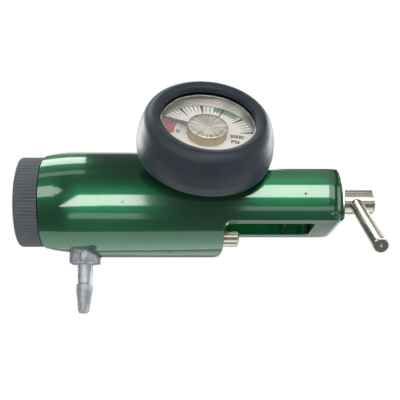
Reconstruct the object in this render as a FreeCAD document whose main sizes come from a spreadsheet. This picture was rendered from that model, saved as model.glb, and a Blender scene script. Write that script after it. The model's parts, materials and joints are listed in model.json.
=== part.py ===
"""Click-style oxygen regulator with a pin-index yoke.

The frame: X runs along the inlet axis towards the clamp screw, Z points up and away from the index
pins, and the gauge leans towards -Y. The origin is where the yoke washer meets the valve post.
Lengths are in millimetres.
"""
import FreeCAD, Part

import math
import os
import re

import Sketcher
from FreeCAD import Placement, Rotation, Vector

SIZES = {
    # Fits
    "thread_gap": 0.03,
    "running_gap": 0.05,
    "rest_gap": 0.30,
    "sealing_gap": 0.04,
    "tool_overrun": 2.0,
    # Bar stock that the body is cut from
    "bar_radius": 19.05,
    "bar_drop": 1.0,
    "barrel_length": 64.2,
    "barrel_corner": 4.0,
    # Taper turned round the knob's axis
    "taper_end_radius": 16.9,
    "taper_crown_radius": 18.1,
    "taper_crown_length": 9.0,
    "taper_length": 20.0,
    "taper_rim": 1.6,
    # Yoke
    "slot_length": 32.0,
    "slot_width": 22.4,
    "slot_corner": 2.5,
    "yoke_block": 10.0,
    "yoke_height": 18.0,
    "yoke_end_round": 6.5,
    "yoke_corner": 3.2,
    "mill_corner": 2.8,
    # Inlet
    "washer_thickness": 2.4,
    "washer_radius": 7.5,
    "washer_groove": 0.4,
    "washer_seal_radius": 5.6,
    "nipple_thread_radius": 5.2,
    "nipple_thread_length": 7.5,
    "nipple_collar_radius": 3.6,
    "nipple_collar_stand": 0.1,
    "nipple_tip_radius": 3.15,
    "nipple_tip_length": 4.0,
    "nipple_bore_radius": 1.2,
    "nipple_chamfer": 0.4,
    "filter_radius": 2.1,
    "filter_length": 3.0,
    "index_circle": 14.3,
    "index_angle": 18.0,
    "index_pin_radius": 2.0,
    "index_pin_stand": 5.5,
    "index_pin_depth": 6.0,
    "index_shank_step": 0.5,
    "index_pin_chamfer": 0.5,
    # High-pressure side
    "chamber_radius": 4.5,
    "chamber_length": 5.7,
    "nozzle_radius": 3.0,
    "nozzle_length": 4.0,
    "nozzle_tip": 1.2,
    "nozzle_tip_radius": 1.1,
    "nozzle_bore_radius": 0.6,
    # Piston
    "stem_radius": 4.0,
    "stem_bore_length": 8.4,
    "piston_travel": 0.8,
    "seat_radius": 2.6,
    "seat_thickness": 1.6,
    "piston_bore_radius": 0.9,
    "cross_hole_radius": 0.6,
    "cross_hole_offset": 1.0,
    "main_bore_radius": 13.5,
    "spring_space": 9.0,
    "head_radius": 13.42,
    "head_thickness": 4.5,
    "head_ring_wire": 0.85,
    "stem_ring_wire": 0.62,
    "stem_ring_offset": 5.4,
    "spring_mean_radius": 9.5,
    "spring_wire": 1.1,
    "spring_turns": 3.0,
    # Flow selector
    "housing_skirt": 4.2,
    "housing_skirt_wall": 1.1,
    "knob_recess": 4.6,
    "housing_ring_wire": 0.78,
    "housing_ring_pitch": 6.4,
    "gallery_width": 2.4,
    "gallery_depth": 1.0,
    "disc_thickness": 1.4,
    "disc_gap": 0.3,
    "port_circle": 8.0,
    "port_radius": 0.9,
    "outlet_radius": 1.0,
    "port_ring_radius": 1.55,
    "port_ring_wire": 0.45,
    "flow_count": 12,
    "first_flow_radius": 0.25,
    "flow_step": 0.06,
    "spindle_radius": 3.0,
    "spindle_flat": 2.3,
    "spindle_head_radius": 4.4,
    "spindle_head": 1.0,
    "spindle_end_depth": 3.1,
    "circlip_thickness": 1.2,
    "circlip_depth": 0.8,
    "circlip_width": 2.7,
    "circlip_gap": 8.0,
    "detent_circle": 8.5,
    "detent_ball_radius": 1.59,
    "detent_stand": 0.75,
    "detent_clear": 0.06,
    "detent_pocket": 6.0,
    "detent_dimple": 0.35,
    "detent_dimple_radius": 1.0,
    "detent_wire": 0.22,
    "detent_turns": 4.0,
    # Knob
    "knob_radius": 16.15,
    "knob_length": 8.2,
    "knob_gap": 0.3,
    "knob_round": 1.0,
    "knob_foot": 1.2,
    "knob_ribs": 64,
    "rib_depth": 0.42,
    "boss_radius": 11.0,
    "knob_dish_radius": 13.0,
    "knob_dish": 0.6,
    "knob_screw_radius": 1.5,
    "knob_screw_length": 8.0,
    "knob_screw_head_radius": 2.75,
    "knob_screw_head": 2.2,
    "knob_screw_socket": 1.45,
    # Hose outlet
    "barb_reach": 5.5,
    "spot_floor": 17.3,
    "spot_radius": 6.15,
    "barb_thread_radius": 3.95,
    "barb_thread_floor": 0.8,
    "barb_seal_thickness": 0.5,
    "barb_seal_radius": 5.4,
    "hex_width": 10.0,
    "hex_height": 5.1,
    "hex_turn": 34.0,
    "hex_chamfer": 0.75,
    "shank_radius": 2.85,
    "shank_neck_radius": 2.7,
    "shank_length": 7.5,
    "barb_radius": 3.05,
    "barb_land": 1.1,
    "barb_cone": 8.0,
    "barb_tip_radius": 1.95,
    "barb_tip_round": 0.9,
    "barb_bore_radius": 1.25,
    # Relief valve
    "relief_pocket_radius": 3.6,
    "relief_seat": 14.9,
    "relief_hole_radius": 1.3,
    "relief_poppet_radius": 2.6,
    "relief_poppet_thickness": 0.8,
    "relief_lift": 0.4,
    "relief_cap_top": 18.6,
    "relief_cap_thickness": 1.2,
    "relief_vent_radius": 0.9,
    "relief_wire": 0.15,
    "relief_turns": 2.0,
    "breather_radius": 0.8,
    # Clamp screw
    "screw_radius": 3.97,
    "screw_pitch": 1.4111,
    "screw_free_turns": 5.0,
    "screw_cone": 1.8,
    "screw_cone_radius": 2.2,
    "groove_radius": 3.1,
    "groove_width": 0.7,
    "retainer_radius": 6.0,
    "retainer_thickness": 0.6,
    "retainer_opening": 5.2,
    "hub_radius": 4.38,
    "hub_length": 12.2,
    "hub_gap": 0.2,
    "hub_chamfer": 0.6,
    "cross_hole_reach": 5.6,
    "bar_hole_gap": 0.12,
    # Sliding bar
    "tee_radius": 2.25,
    "tee_length": 50.8,
    "tee_collar_radius": 2.5,
    "tee_collar": 1.7,
    "tee_chamfer": 0.7,
    "tee_droop": 30.0,
    # Gauge
    "gauge_reach": 12.0,
    "gauge_tilt": 54.0,
    "gauge_lean": 6.7,
    "gauge_spot": 17.4,
    "gauge_spot_radius": 7.3,
    "gauge_seal_thickness": 1.0,
    "gauge_seal_radius": 6.4,
    "gauge_thread_radius": 4.85,
    "gauge_thread_length": 8.0,
    "gauge_hex_width": 12.0,
    "gauge_socket_radius": 4.2,
    "gauge_bore_radius": 1.0,
    "gauge_passage_radius": 1.5,
    "gauge_neck": 5.0,
    "case_radius": 19.0,
    "case_wall": 1.2,
    "window_ledge": 1.1,
    "case_step": 0.9,
    "dial_rise": 6.4,
    "dial_thickness": 0.5,
    "dial_hole_radius": 2.3,
    "window_thickness": 1.8,
    "case_rim": 1.0,
    "window_rise": 5.6,
    "bezel_wall": 1.3,
    "bezel_cap": 0.6,
    "bezel_skirt": 3.0,
    "bezel_lip": 2.4,
    "socket_drop": 0.9,
    "arbor_radius": 1.4,
    "arbor_depth": 2.4,
    "pointer_rise": 1.6,
    "pointer_thickness": 0.4,
    "pointer_start": 3.0,
    "pointer_tip_gap": 0.8,
    "pointer_root": 1.3,
    "pointer_tip": 0.35,
    "pointer_angle": 160.0,
    "gauge_hub_radius": 6.85,
    "gauge_hub_gap": 0.4,
    "gauge_hub_dish": 0.5,
    "gauge_hub_edge": 0.5,
    "coil_radius": 5.7,
    "coil_tube": 0.8,
    "coil_turns": 1.5,
    # Rubber boot
    "boot_gap": 0.1,
    "boot_floor": 1.6,
    "boot_foot_inset": 0.9,
    "boot_bottom_round": 3.9,
    "boot_shoulder_wall": 1.4,
    "boot_shoulder_drop": 2.3,
    "boot_side_bulge": 34.0,
    "boot_crest_inset": 0.7,
    "boot_crest_rise": 2.4,
    "boot_crest_round": 2.6,
    "boot_mouth_inset": 4.3,
    "boot_mouth_edge": 0.45,
    "boot_hole_radius": 7.4,
}

# Places along the axis, worked out from the sizes above
INLET_FACE = "(0 - washer_thickness)"
KNOB_FACE = "(0 - washer_thickness - barrel_length)"
SLOT_END = "(slot_length - washer_thickness)"
YOKE_END = "(slot_length - washer_thickness + yoke_block)"
CHAMBER_START = "(0 - washer_thickness - nipple_thread_length)"
NOZZLE_START = CHAMBER_START[:-1] + " - chamber_length)"
STEM_BORE_START = NOZZLE_START[:-1] + " - nozzle_length)"
MAIN_BORE_START = STEM_BORE_START[:-1] + " - stem_bore_length)"
HEAD_START = MAIN_BORE_START[:-1] + " - spring_space)"
HEAD_END = HEAD_START[:-1] + " - head_thickness)"
SKIRT_START = HEAD_END[:-1] + " - rest_gap)"
HOUSING_START = SKIRT_START[:-1] + " - housing_skirt)"
HOUSING_END = KNOB_FACE[:-1] + " + knob_recess)"
HOUSING_LENGTH = "(%s - %s)" % (HOUSING_START, HOUSING_END)
BARB_PLACE = HOUSING_START[:-1] + " - barb_reach)"
RELIEF_PLACE = HOUSING_START[:-1] + " + housing_skirt / 2)"
BREATHER_PLACE = HEAD_START[:-1] + " + spring_space / 2)"
CIRCLIP_START = HOUSING_END[:-1] + " - sealing_gap)"
CIRCLIP_END = CIRCLIP_START[:-1] + " - circlip_thickness)"
DISC_START = HOUSING_START[:-1] + " + disc_gap + disc_thickness)"
KNOB_START = KNOB_FACE[:-1] + " - knob_gap)"
KNOB_END = KNOB_START[:-1] + " - knob_length)"
SPINDLE_END = KNOB_END[:-1] + " + spindle_end_depth)"
HUB_START = YOKE_END[:-1] + " + hub_gap)"
HUB_END = HUB_START[:-1] + " + hub_length)"
SCREW_TIP = SLOT_END[:-1] + " - screw_free_turns * screw_pitch - rest_gap / 2 - screw_cone - groove_width)"
BAR_HOLE = HUB_START[:-1] + " + cross_hole_reach)"

# Places along the gauge's axis, and its radii
CASE_BOTTOM = "(gauge_spot + gauge_seal_thickness + gauge_neck)"
DIAL = CASE_BOTTOM[:-1] + " + dial_rise)"
SOCKET_TOP = DIAL[:-1] + " - socket_drop)"
POINTER = DIAL[:-1] + " + pointer_rise)"
WINDOW = DIAL[:-1] + " + window_rise)"
HUB_TOP = WINDOW[:-1] + " - window_thickness - gauge_hub_gap)"
BOOT_FLOOR = CASE_BOTTOM[:-1] + " - boot_gap - boot_floor)"
BOOT_CREST = WINDOW[:-1] + " + bezel_cap + boot_gap + boot_crest_rise)"
WINDOW_RADIUS = "(case_radius - case_rim)"
CASE_INNER = "(case_radius - case_rim - window_ledge)"
BEZEL_RADIUS = "(case_radius + bezel_wall)"
BEZEL_OPENING = "(case_radius - case_rim - bezel_lip)"

doc = FreeCAD.newDocument("oxygen_regulator")
sheet = doc.addObject("Spreadsheet::Sheet", "Sizes")
for row, (alias, number) in enumerate(SIZES.items(), start=1):
    sheet.set("A%d" % row, alias)
    sheet.set("B%d" % row, str(number))
    sheet.setAlias("B%d" % row, alias)
doc.recompute()

WORD = re.compile(r"\b[a-z_]+\b")
parts = []


def tied(text):
    """The expression with each alias pointing into the sheet."""
    return WORD.sub(lambda word: "Sizes." + word.group(0) if word.group(0) in SIZES else word.group(0), text)


def value(text):
    """The number that an expression gives now."""
    result = sheet.evalExpression(tied(text))
    return float(getattr(result, "Value", result))


def kept(item, label):
    """Name a finished piece and list it for export."""
    item.Label = label
    parts.append(item)
    return item


def along_axis(place, towards=1):
    """Stand a piece on the inlet axis, its own Z along +X or -X."""
    return Placement(Vector(value(place), 0, 0), Rotation(Vector(0, 1, 0), 90 * towards))


def gauge_frame():
    """The gauge's frame: its Z is the gauge's axis, its X points to the right of the dial."""
    tilt = Rotation(Vector(1, 0, 0), value("gauge_tilt"))
    lean = Rotation(Vector(0, 1, 0), value("gauge_lean"))
    return Placement(Vector(-value("gauge_reach"), 0, 0), tilt.multiply(lean))


def round_edge(start, end, radius, side):
    """An arc from start to end, its centre on the left (side 1) or on the right (side -1)."""
    chord = end - start
    middle = (start + end) * 0.5
    rise = math.sqrt(max(radius ** 2 - (chord.Length / 2) ** 2, 0))
    left = Vector(-chord.y, chord.x, 0) * (1 / chord.Length)
    centre = middle + left * (rise * side)
    first, last = (start, end) if side > 0 else (end, start)
    begin = math.atan2(first.y - centre.y, first.x - centre.x)
    finish = math.atan2(last.y - centre.y, last.x - centre.x)
    return Part.ArcOfCircle(Part.Circle(centre, Vector(0, 0, 1), radius), begin, finish)


def origin_plane(body, role):
    """One of the body's own origin planes, such as XZ_Plane."""
    return [feature for feature in body.Origin.OriginFeatures if feature.Role == role][0]


def fix_point(sketch, edge, point, across, up):
    """Tie one corner of an outline to the sheet."""
    for kind, axis, text in (("DistanceX", -2, across), ("DistanceY", -1, up)):
        if text == "0":
            sketch.addConstraint(Sketcher.Constraint("PointOnObject", edge, point, axis))
        else:
            number = sketch.addConstraint(Sketcher.Constraint(kind, -1, 1, edge, point, value(text)))
            sketch.setExpression("Constraints[%d]" % number, tied(text))


def outline(body, role, corners, arcs=None, lift="0"):
    """A closed outline. arcs maps an edge's number to (radius, side)."""
    arcs = arcs or {}
    sketch = body.newObject("Sketcher::SketchObject", "outline")
    sketch.AttachmentSupport = [(origin_plane(body, role), "")]
    sketch.MapMode = "FlatFace"
    sketch.AttachmentOffset = Placement(Vector(0, value(lift), 0), Rotation())
    places = [Vector(value(across), value(up), 0) for across, up in corners]
    ends = []
    for index, start in enumerate(places):
        end = places[(index + 1) % len(places)]
        if index in arcs:
            radius, side = arcs[index]
            sketch.addGeometry(round_edge(start, end, value(radius), side))
            ends.append((1, 2) if side > 0 else (2, 1))
        else:
            sketch.addGeometry(Part.LineSegment(start, end))
            ends.append((1, 2))
    for index in range(len(places)):
        after = (index + 1) % len(places)
        sketch.addConstraint(
            Sketcher.Constraint("Coincident", index, ends[index][1], after, ends[after][0]))
    for index, (across, up) in enumerate(corners):
        fix_point(sketch, index, ends[index][0], across, up)
    for index, (radius, _) in arcs.items():
        number = sketch.addConstraint(Sketcher.Constraint("Radius", index, value(radius)))
        sketch.setExpression("Constraints[%d]" % number, tied(radius))
    return sketch


def turned(name, corners, arcs=None):
    """A body turned round its own Z from an outline of (radius, height) corners."""
    body = doc.addObject("PartDesign::Body", name)
    sketch = outline(body, "XZ_Plane", corners, arcs)
    turn = body.newObject("PartDesign::Revolution", "turn")
    turn.Profile = sketch
    turn.ReferenceAxis = (sketch, ["V_Axis"])
    turn.Angle = 360
    body.Tip = turn
    doc.recompute()
    return body


def cylinder(name, radius, length, place):
    """A plain cylinder tied to the sheet, for a pin or a drill."""
    tool = doc.addObject("Part::Cylinder", name)
    tool.setExpression("Radius", tied(radius))
    tool.setExpression("Height", tied(length))
    tool.Placement = place
    return tool


def ring(name, centre, wire, place):
    """A sealing ring with a bevelled square section."""
    low = "(%s) - (%s)" % (centre, wire)
    high = "(%s) + (%s)" % (centre, wire)
    half = "(%s) / 2" % wire
    return turned_at(name, [
        (low + " + " + half, "0 - (%s)" % wire),
        (high + " - " + half, "0 - (%s)" % wire),
        (high, "0 - " + half),
        (high, half),
        (high + " - " + half, wire),
        (low + " + " + half, wire),
        (low, half),
        (low, "0 - " + half),
    ], place)


def hexagon(name, width, length, place):
    """A hexagonal prism, given by its width across the flats."""
    item = doc.addObject("Part::Prism", name)
    item.Polygon = 6
    item.setExpression("Circumradius", tied("(%s) / 2 / cos(30)" % width))
    item.setExpression("Height", tied(length))
    item.Placement = place
    return item


def joined(name, pieces):
    """Several shapes as one."""
    fuse = doc.addObject("Part::MultiFuse", name)
    fuse.Shapes = pieces
    return fuse


def cut_from(name, base, tools):
    """A shape with the tools taken away."""
    cut = doc.addObject("Part::Cut", name)
    cut.Base = base
    cut.Tool = tools[0] if len(tools) == 1 else joined(name + "_tools", tools)
    doc.recompute()
    return cut


def shared(name, base, tool):
    """What two shapes share."""
    common = doc.addObject("Part::Common", name)
    common.Base = base
    common.Tool = tool
    doc.recompute()
    return common


def coil(name, mean_radius, wire, pitch, turns, place):
    """A wire spring round its own Z, from its first turn's centre upwards."""
    path = doc.addObject("Part::Helix", name + "_path")
    path.setExpression("Radius", tied(mean_radius))
    path.setExpression("Pitch", tied(pitch))
    path.setExpression("Height", tied("(%s) * (%s)" % (pitch, turns)))
    section = doc.addObject("Part::RegularPolygon", name + "_section")
    section.Polygon = 6
    section.setExpression("Circumradius", tied(wire))
    slope = math.degrees(math.atan2(value(pitch), 2 * math.pi * value(mean_radius)))
    section.Placement = Placement(
        Vector(value(mean_radius), 0, 0), Rotation(Vector(1, 0, 0), 90 + slope))
    doc.recompute()
    item = doc.addObject("Part::Sweep", name)
    item.Sections = [section]
    item.Spine = (path, ["Edge%d" % (number + 1) for number in range(len(path.Shape.Edges))])
    item.Solid = True
    item.Frenet = True
    item.Placement = place
    doc.recompute()
    return item


def radial(place, angle, start):
    """A frame on the axis at place whose Z points outwards, angle degrees from up towards the front."""
    turn = Rotation(Vector(1, 0, 0), angle)
    return Placement(Vector(value(place), 0, 0) + turn.multVec(Vector(0, 0, start)), turn)


def bar_stock():
    """The bar with its rounded yoke end, the taper at the knob's end and the milled yoke."""
    body = doc.addObject("PartDesign::Body", "body_blank")
    bar = outline(body, "XZ_Plane", [
        (KNOB_FACE, "0"),
        (YOKE_END, "0"),
        (YOKE_END, "bar_radius - yoke_end_round"),
        (YOKE_END + " - yoke_end_round", "bar_radius"),
        (KNOB_FACE, "bar_radius"),
    ], {2: ("yoke_end_round", 1)}, lift="0 - bar_drop")
    blank = body.newObject("PartDesign::Revolution", "bar")
    blank.Profile = bar
    blank.ReferenceAxis = (bar, ["H_Axis"])
    blank.Angle = 360
    doc.recompute()

    beyond = "(bar_radius + bar_drop + tool_overrun)"
    crown_end = KNOB_FACE[:-1] + " + taper_crown_length)"
    taper_end = KNOB_FACE[:-1] + " + taper_length)"
    ring_cut = outline(body, "XZ_Plane", [
        (KNOB_FACE, beyond),
        (KNOB_FACE, "taper_end_radius - taper_rim"),
        (KNOB_FACE[:-1] + " + taper_rim)", "taper_end_radius"),
        (crown_end, "taper_crown_radius"),
        (taper_end, "(bar_radius + bar_drop)"),
        (taper_end, beyond),
    ], {1: ("taper_rim", -1), 2: ("taper_crown_length * 4", -1)})
    taper = body.newObject("PartDesign::Groove", "taper")
    taper.Profile = ring_cut
    taper.ReferenceAxis = (ring_cut, ["H_Axis"])
    taper.Angle = 360
    doc.recompute()

    for side, sign in (("top", "1"), ("bottom", "(0 - 1)")):
        level = "(%s * yoke_height / 2 - bar_drop)" % sign
        reach = "(%s * (bar_radius + tool_overrun) - bar_drop)" % sign
        skin = "(%s * bar_radius - bar_drop)" % sign
        wall = "(%s * (yoke_height / 2 + mill_corner) - bar_drop)" % sign
        rim = "(%s * (bar_radius - barrel_corner) - bar_drop)" % sign
        turn = 1 if side == "top" else -1
        drop = "(%s * (yoke_height / 2 - yoke_corner) - bar_drop)" % sign
        profile = outline(body, "XZ_Plane", [
            (YOKE_END + " - yoke_corner", level),
            (YOKE_END, drop),
            (YOKE_END + " + tool_overrun", drop),
            (YOKE_END + " + tool_overrun", reach),
            (INLET_FACE + " - barrel_corner", reach),
            (INLET_FACE + " - barrel_corner", skin),
            (INLET_FACE, rim),
            (INLET_FACE, wall),
            (INLET_FACE + " + mill_corner", level),
        ], {0: ("yoke_corner", -turn), 5: ("barrel_corner", -turn), 7: ("mill_corner", turn)})
        mill = body.newObject("PartDesign::Pocket", "mill_" + side)
        mill.Profile = profile
        mill.Type = "Length"
        mill.Midplane = True
        mill.setExpression("Length", tied("2 * (bar_radius + tool_overrun)"))
        doc.recompute()

    half = "(slot_width / 2)"
    low = "(0 - slot_width / 2)"
    slot = outline(body, "XY_Plane", [
        (INLET_FACE + " + slot_corner", low),
        (SLOT_END + " - slot_corner", low),
        (SLOT_END, low + " + slot_corner"),
        (SLOT_END, half + " - slot_corner"),
        (SLOT_END + " - slot_corner", half),
        (INLET_FACE + " + slot_corner", half),
        (INLET_FACE, half + " - slot_corner"),
        (INLET_FACE, low + " + slot_corner"),
    ], {1: ("slot_corner", 1), 3: ("slot_corner", 1), 5: ("slot_corner", 1), 7: ("slot_corner", 1)})
    opening = body.newObject("PartDesign::Pocket", "valve_slot")
    opening.Profile = slot
    opening.Type = "Length"
    opening.Midplane = True
    opening.setExpression("Length", tied("yoke_height + 2 * bar_drop + 2 * tool_overrun"))
    body.Tip = opening
    doc.recompute()
    return body


def body_bore():
    """Everything bored on the inlet axis, as one stepped plug drawn towards the knob."""
    def depth(place):
        return "(%s - %s)" % (INLET_FACE, place)
    beyond = "(0 - slot_width / 2)"
    ring_radius = "main_bore_radius + circlip_depth"
    thread = "nipple_thread_radius + thread_gap"
    stem = "stem_radius + running_gap"
    return turned("body_bore", [
        ("0", "0 - tool_overrun"),
        (thread, "0 - tool_overrun"),
        (thread, depth(CHAMBER_START)),
        ("chamber_radius", depth(CHAMBER_START)),
        ("chamber_radius", depth(NOZZLE_START)),
        ("nozzle_radius + thread_gap", depth(NOZZLE_START)),
        ("nozzle_radius + thread_gap", depth(STEM_BORE_START)),
        (stem, depth(STEM_BORE_START)),
        (stem, depth(MAIN_BORE_START)),
        ("main_bore_radius", depth(MAIN_BORE_START)),
        ("main_bore_radius", depth(CIRCLIP_START)),
        (ring_radius, depth(CIRCLIP_START)),
        (ring_radius, depth(CIRCLIP_END) + " + sealing_gap"),
        ("main_bore_radius", depth(CIRCLIP_END) + " + sealing_gap"),
        ("main_bore_radius", depth(KNOB_FACE) + " + tool_overrun"),
        ("0", depth(KNOB_FACE) + " + tool_overrun"),
    ])


def index_places():
    """Where the two index pins stand on the inlet face."""
    radius = value("index_circle")
    swing = math.radians(value("index_angle"))
    return [Vector(0, side * radius * math.sin(swing), -radius * math.cos(swing)) for side in (-1, 1)]


def regulator_body():
    bore = body_bore()
    bore.Placement = along_axis(INLET_FACE, -1)
    tools = [bore]
    for number, place in enumerate(index_places()):
        start = Vector(value(INLET_FACE + " - index_pin_depth"), 0, 0) + place
        tools.append(cylinder(
            "index_hole_%d" % number, "index_pin_radius + index_shank_step + thread_gap",
            "index_pin_depth + tool_overrun * 2",
            Placement(start, Rotation(Vector(0, 1, 0), 90))))
    tools.append(cylinder(
        "screw_hole", "screw_radius + running_gap * 2", "yoke_block + 2 * tool_overrun",
        along_axis(SLOT_END + " - tool_overrun")))

    barb_hole = radial(BARB_PLACE, 180, value("main_bore_radius + barb_thread_floor"))
    tools.append(cylinder("barb_hole", "barb_thread_radius + thread_gap", "bar_radius", barb_hole))
    port = radial(BARB_PLACE, 180, value("main_bore_radius - tool_overrun"))
    tools.append(cylinder("outlet_port", "outlet_radius", "2 * tool_overrun", port))
    spot = radial(BARB_PLACE, 180, value("spot_floor"))
    tools.append(cylinder("barb_spot", "spot_radius", "bar_radius / 2", spot))

    frame = gauge_frame()
    seat = frame.multiply(Placement(Vector(0, 0, value("gauge_spot")), Rotation()))
    tools.append(cylinder("gauge_spot_face", "gauge_spot_radius", "bar_radius", seat))
    thread = frame.multiply(Placement(
        Vector(0, 0, value("gauge_spot - gauge_thread_length - tool_overrun")), Rotation()))
    tools.append(cylinder(
        "gauge_hole", "gauge_thread_radius + thread_gap", "gauge_thread_length + 2 * tool_overrun", thread))
    tools.append(cylinder("gauge_passage", "gauge_passage_radius", "bar_radius - tool_overrun * 4", frame))

    relief = radial(RELIEF_PLACE, -90, value("relief_seat"))
    tools.append(cylinder("relief_pocket", "relief_pocket_radius", "bar_radius", relief))
    leak = radial(RELIEF_PLACE, -90, value("head_radius - housing_skirt_wall - tool_overrun"))
    tools.append(cylinder("relief_hole", "relief_hole_radius", "bar_radius / 2", leak))
    breather = radial(BREATHER_PLACE, -90, value("main_bore_radius - tool_overrun"))
    tools.append(cylinder("breather", "breather_radius", "bar_radius", breather))
    kept(cut_from("regulator_body", bar_stock(), tools), "regulator_body")


def inlet_pieces():
    collar = "washer_thickness + nipple_collar_stand"
    tip = collar + " + nipple_tip_length"
    nipple = turned("inlet_nipple", [
        ("nipple_bore_radius", "0 - nipple_thread_length"),
        ("nipple_thread_radius", "0 - nipple_thread_length"),
        ("nipple_thread_radius", "0"),
        ("nipple_collar_radius", "0"),
        ("nipple_collar_radius", collar),
        ("nipple_tip_radius", collar),
        ("nipple_tip_radius", tip + " - nipple_chamfer"),
        ("nipple_tip_radius - nipple_chamfer", tip),
        ("filter_radius + sealing_gap", tip),
        ("filter_radius + sealing_gap", tip + " - filter_length"),
        ("nipple_bore_radius", tip + " - filter_length"),
    ])
    nipple.Placement = along_axis(INLET_FACE)
    kept(nipple, "inlet_nipple")

    place = along_axis(INLET_FACE + " + %s - filter_length" % tip)
    kept(cylinder("inlet_filter", "filter_radius", "filter_length - nipple_chamfer", place), "inlet_filter")

    inner = "nipple_collar_radius + running_gap"
    washer = turned("washer_ring", [
        ("washer_seal_radius", "0"),
        ("washer_radius", "0"),
        ("washer_radius", "washer_thickness - washer_groove"),
        ("washer_radius - washer_groove", "washer_thickness"),
        ("washer_seal_radius", "washer_thickness"),
    ])
    washer.Placement = along_axis(INLET_FACE)
    kept(washer, "washer_ring")
    seal = turned("washer_seal", [
        (inner, "0"),
        ("washer_seal_radius", "0"),
        ("washer_seal_radius", "washer_thickness"),
        (inner + " + washer_groove", "washer_thickness"),
        (inner, "washer_thickness - washer_groove"),
    ])
    seal.Placement = along_axis(INLET_FACE)
    kept(seal, "washer_seal")

    pins = []
    for number, place in enumerate(index_places()):
        length = "index_pin_depth + index_pin_stand"
        pin = turned("index_pin_%d" % number, [
            ("0", "0"),
            ("index_pin_radius + index_shank_step", "0"),
            ("index_pin_radius + index_shank_step", "index_pin_depth"),
            ("index_pin_radius", "index_pin_depth"),
            ("index_pin_radius", length + " - index_pin_chamfer"),
            ("index_pin_radius - index_pin_chamfer", length),
            ("0", length),
        ])
        start = Vector(value(INLET_FACE + " - index_pin_depth"), 0, 0) + place
        pin.Placement = Placement(start, Rotation(Vector(0, 1, 0), 90))
        pins.append(pin)
    kept(joined("index_pins", pins), "index_pins")


def pressure_pieces():
    """Nozzle, seat, piston, spring and seals of the reducing stage."""
    nozzle = turned("seat_nozzle", [
        ("nozzle_bore_radius", "0"),
        ("nozzle_radius", "0"),
        ("nozzle_radius", "nozzle_length"),
        ("nozzle_radius * 0.6", "nozzle_length"),
        ("nozzle_tip_radius", "nozzle_length + nozzle_tip"),
        ("nozzle_bore_radius", "nozzle_length + nozzle_tip"),
    ])
    nozzle.Placement = along_axis(NOZZLE_START, -1)
    kept(nozzle, "seat_nozzle")

    seat_face = STEM_BORE_START[:-1] + " - nozzle_tip - sealing_gap - piston_travel)"
    stem = "(%s - %s)" % (seat_face, HEAD_START)
    head_groove = "main_bore_radius - 2 * head_ring_wire - 2 * sealing_gap"
    groove_low = stem + " + head_thickness / 2 - head_ring_wire * 1.3"
    groove_high = stem + " + head_thickness / 2 + head_ring_wire * 1.3"
    stem_groove = "stem_radius + running_gap - 2 * stem_ring_wire - 1.5 * sealing_gap"
    stem_low = "stem_ring_offset - stem_ring_wire * 1.3"
    stem_high = "stem_ring_offset + stem_ring_wire * 1.3"
    cross = "seat_thickness + cross_hole_offset"
    piston = turned("piston_blank", [
        ("0", "seat_thickness"),
        ("seat_radius + sealing_gap", "seat_thickness"),
        ("seat_radius + sealing_gap", "0"),
        ("stem_radius", "0"),
        ("stem_radius", stem_low),
        (stem_groove, stem_low),
        (stem_groove, stem_high),
        ("stem_radius", stem_high),
        ("stem_radius", stem),
        ("head_radius", stem),
        ("head_radius", groove_low),
        (head_groove, groove_low),
        (head_groove, groove_high),
        ("head_radius", groove_high),
        ("head_radius", stem + " + head_thickness"),
        ("piston_bore_radius", stem + " + head_thickness"),
        ("piston_bore_radius", cross),
        ("0", cross),
    ])
    piston.Placement = along_axis(seat_face, -1)
    level = value(seat_face + " - (%s)" % cross) - value("cross_hole_radius")
    drill = doc.addObject("Part::Cylinder", "cross_drill")
    drill.setExpression("Radius", tied("cross_hole_radius"))
    drill.setExpression("Height", tied("2 * stem_radius + 2 * tool_overrun"))
    drill.Placement = Placement(Vector(level, 0, -value("stem_radius + tool_overrun")), Rotation())
    kept(cut_from("piston", piston, [drill]), "piston")

    kept(cylinder("valve_seat", "seat_radius", "seat_thickness - sealing_gap",
                  along_axis(seat_face, -1)), "valve_seat")
    kept(ring("piston_o_ring", "main_bore_radius - head_ring_wire - sealing_gap", "head_ring_wire",
              along_axis(HEAD_START + " - head_thickness / 2")), "piston_o_ring")
    kept(ring("stem_o_ring", "stem_radius + running_gap - stem_ring_wire - sealing_gap / 2",
              "stem_ring_wire", along_axis(seat_face + " - stem_ring_offset")), "stem_o_ring")

    pitch = "((spring_space - 2 * spring_wire - 2 * sealing_gap) / spring_turns)"
    kept(coil("piston_spring", "spring_mean_radius", "spring_wire", pitch, "spring_turns",
              along_axis(MAIN_BORE_START + " - spring_wire - sealing_gap", -1)), "piston_spring")


def housing_grooves():
    """Seal grooves and the gallery between them, as rings to cut from the housing."""
    reach = "housing_skirt + barb_reach"
    rings = []
    seal_floor = "main_bore_radius - 2 * housing_ring_wire - 2 * sealing_gap"
    for name, offset, half, floor in (
            ("front_groove", "0 - housing_ring_pitch / 2", "housing_ring_wire * 1.3", seal_floor),
            ("gallery", "0", "gallery_width / 2", "head_radius - gallery_depth"),
            ("rear_groove", "housing_ring_pitch / 2", "housing_ring_wire * 1.3", seal_floor)):
        centre = "%s + %s" % (reach, offset)
        cut = turned(name, [
            (floor, "%s - %s" % (centre, half)),
            ("head_radius + tool_overrun", "%s - %s" % (centre, half)),
            ("head_radius + tool_overrun", "%s + %s" % (centre, half)),
            (floor, "%s + %s" % (centre, half)),
        ])
        cut.Placement = along_axis(SKIRT_START, -1)
        rings.append(cut)
    return rings


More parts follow.
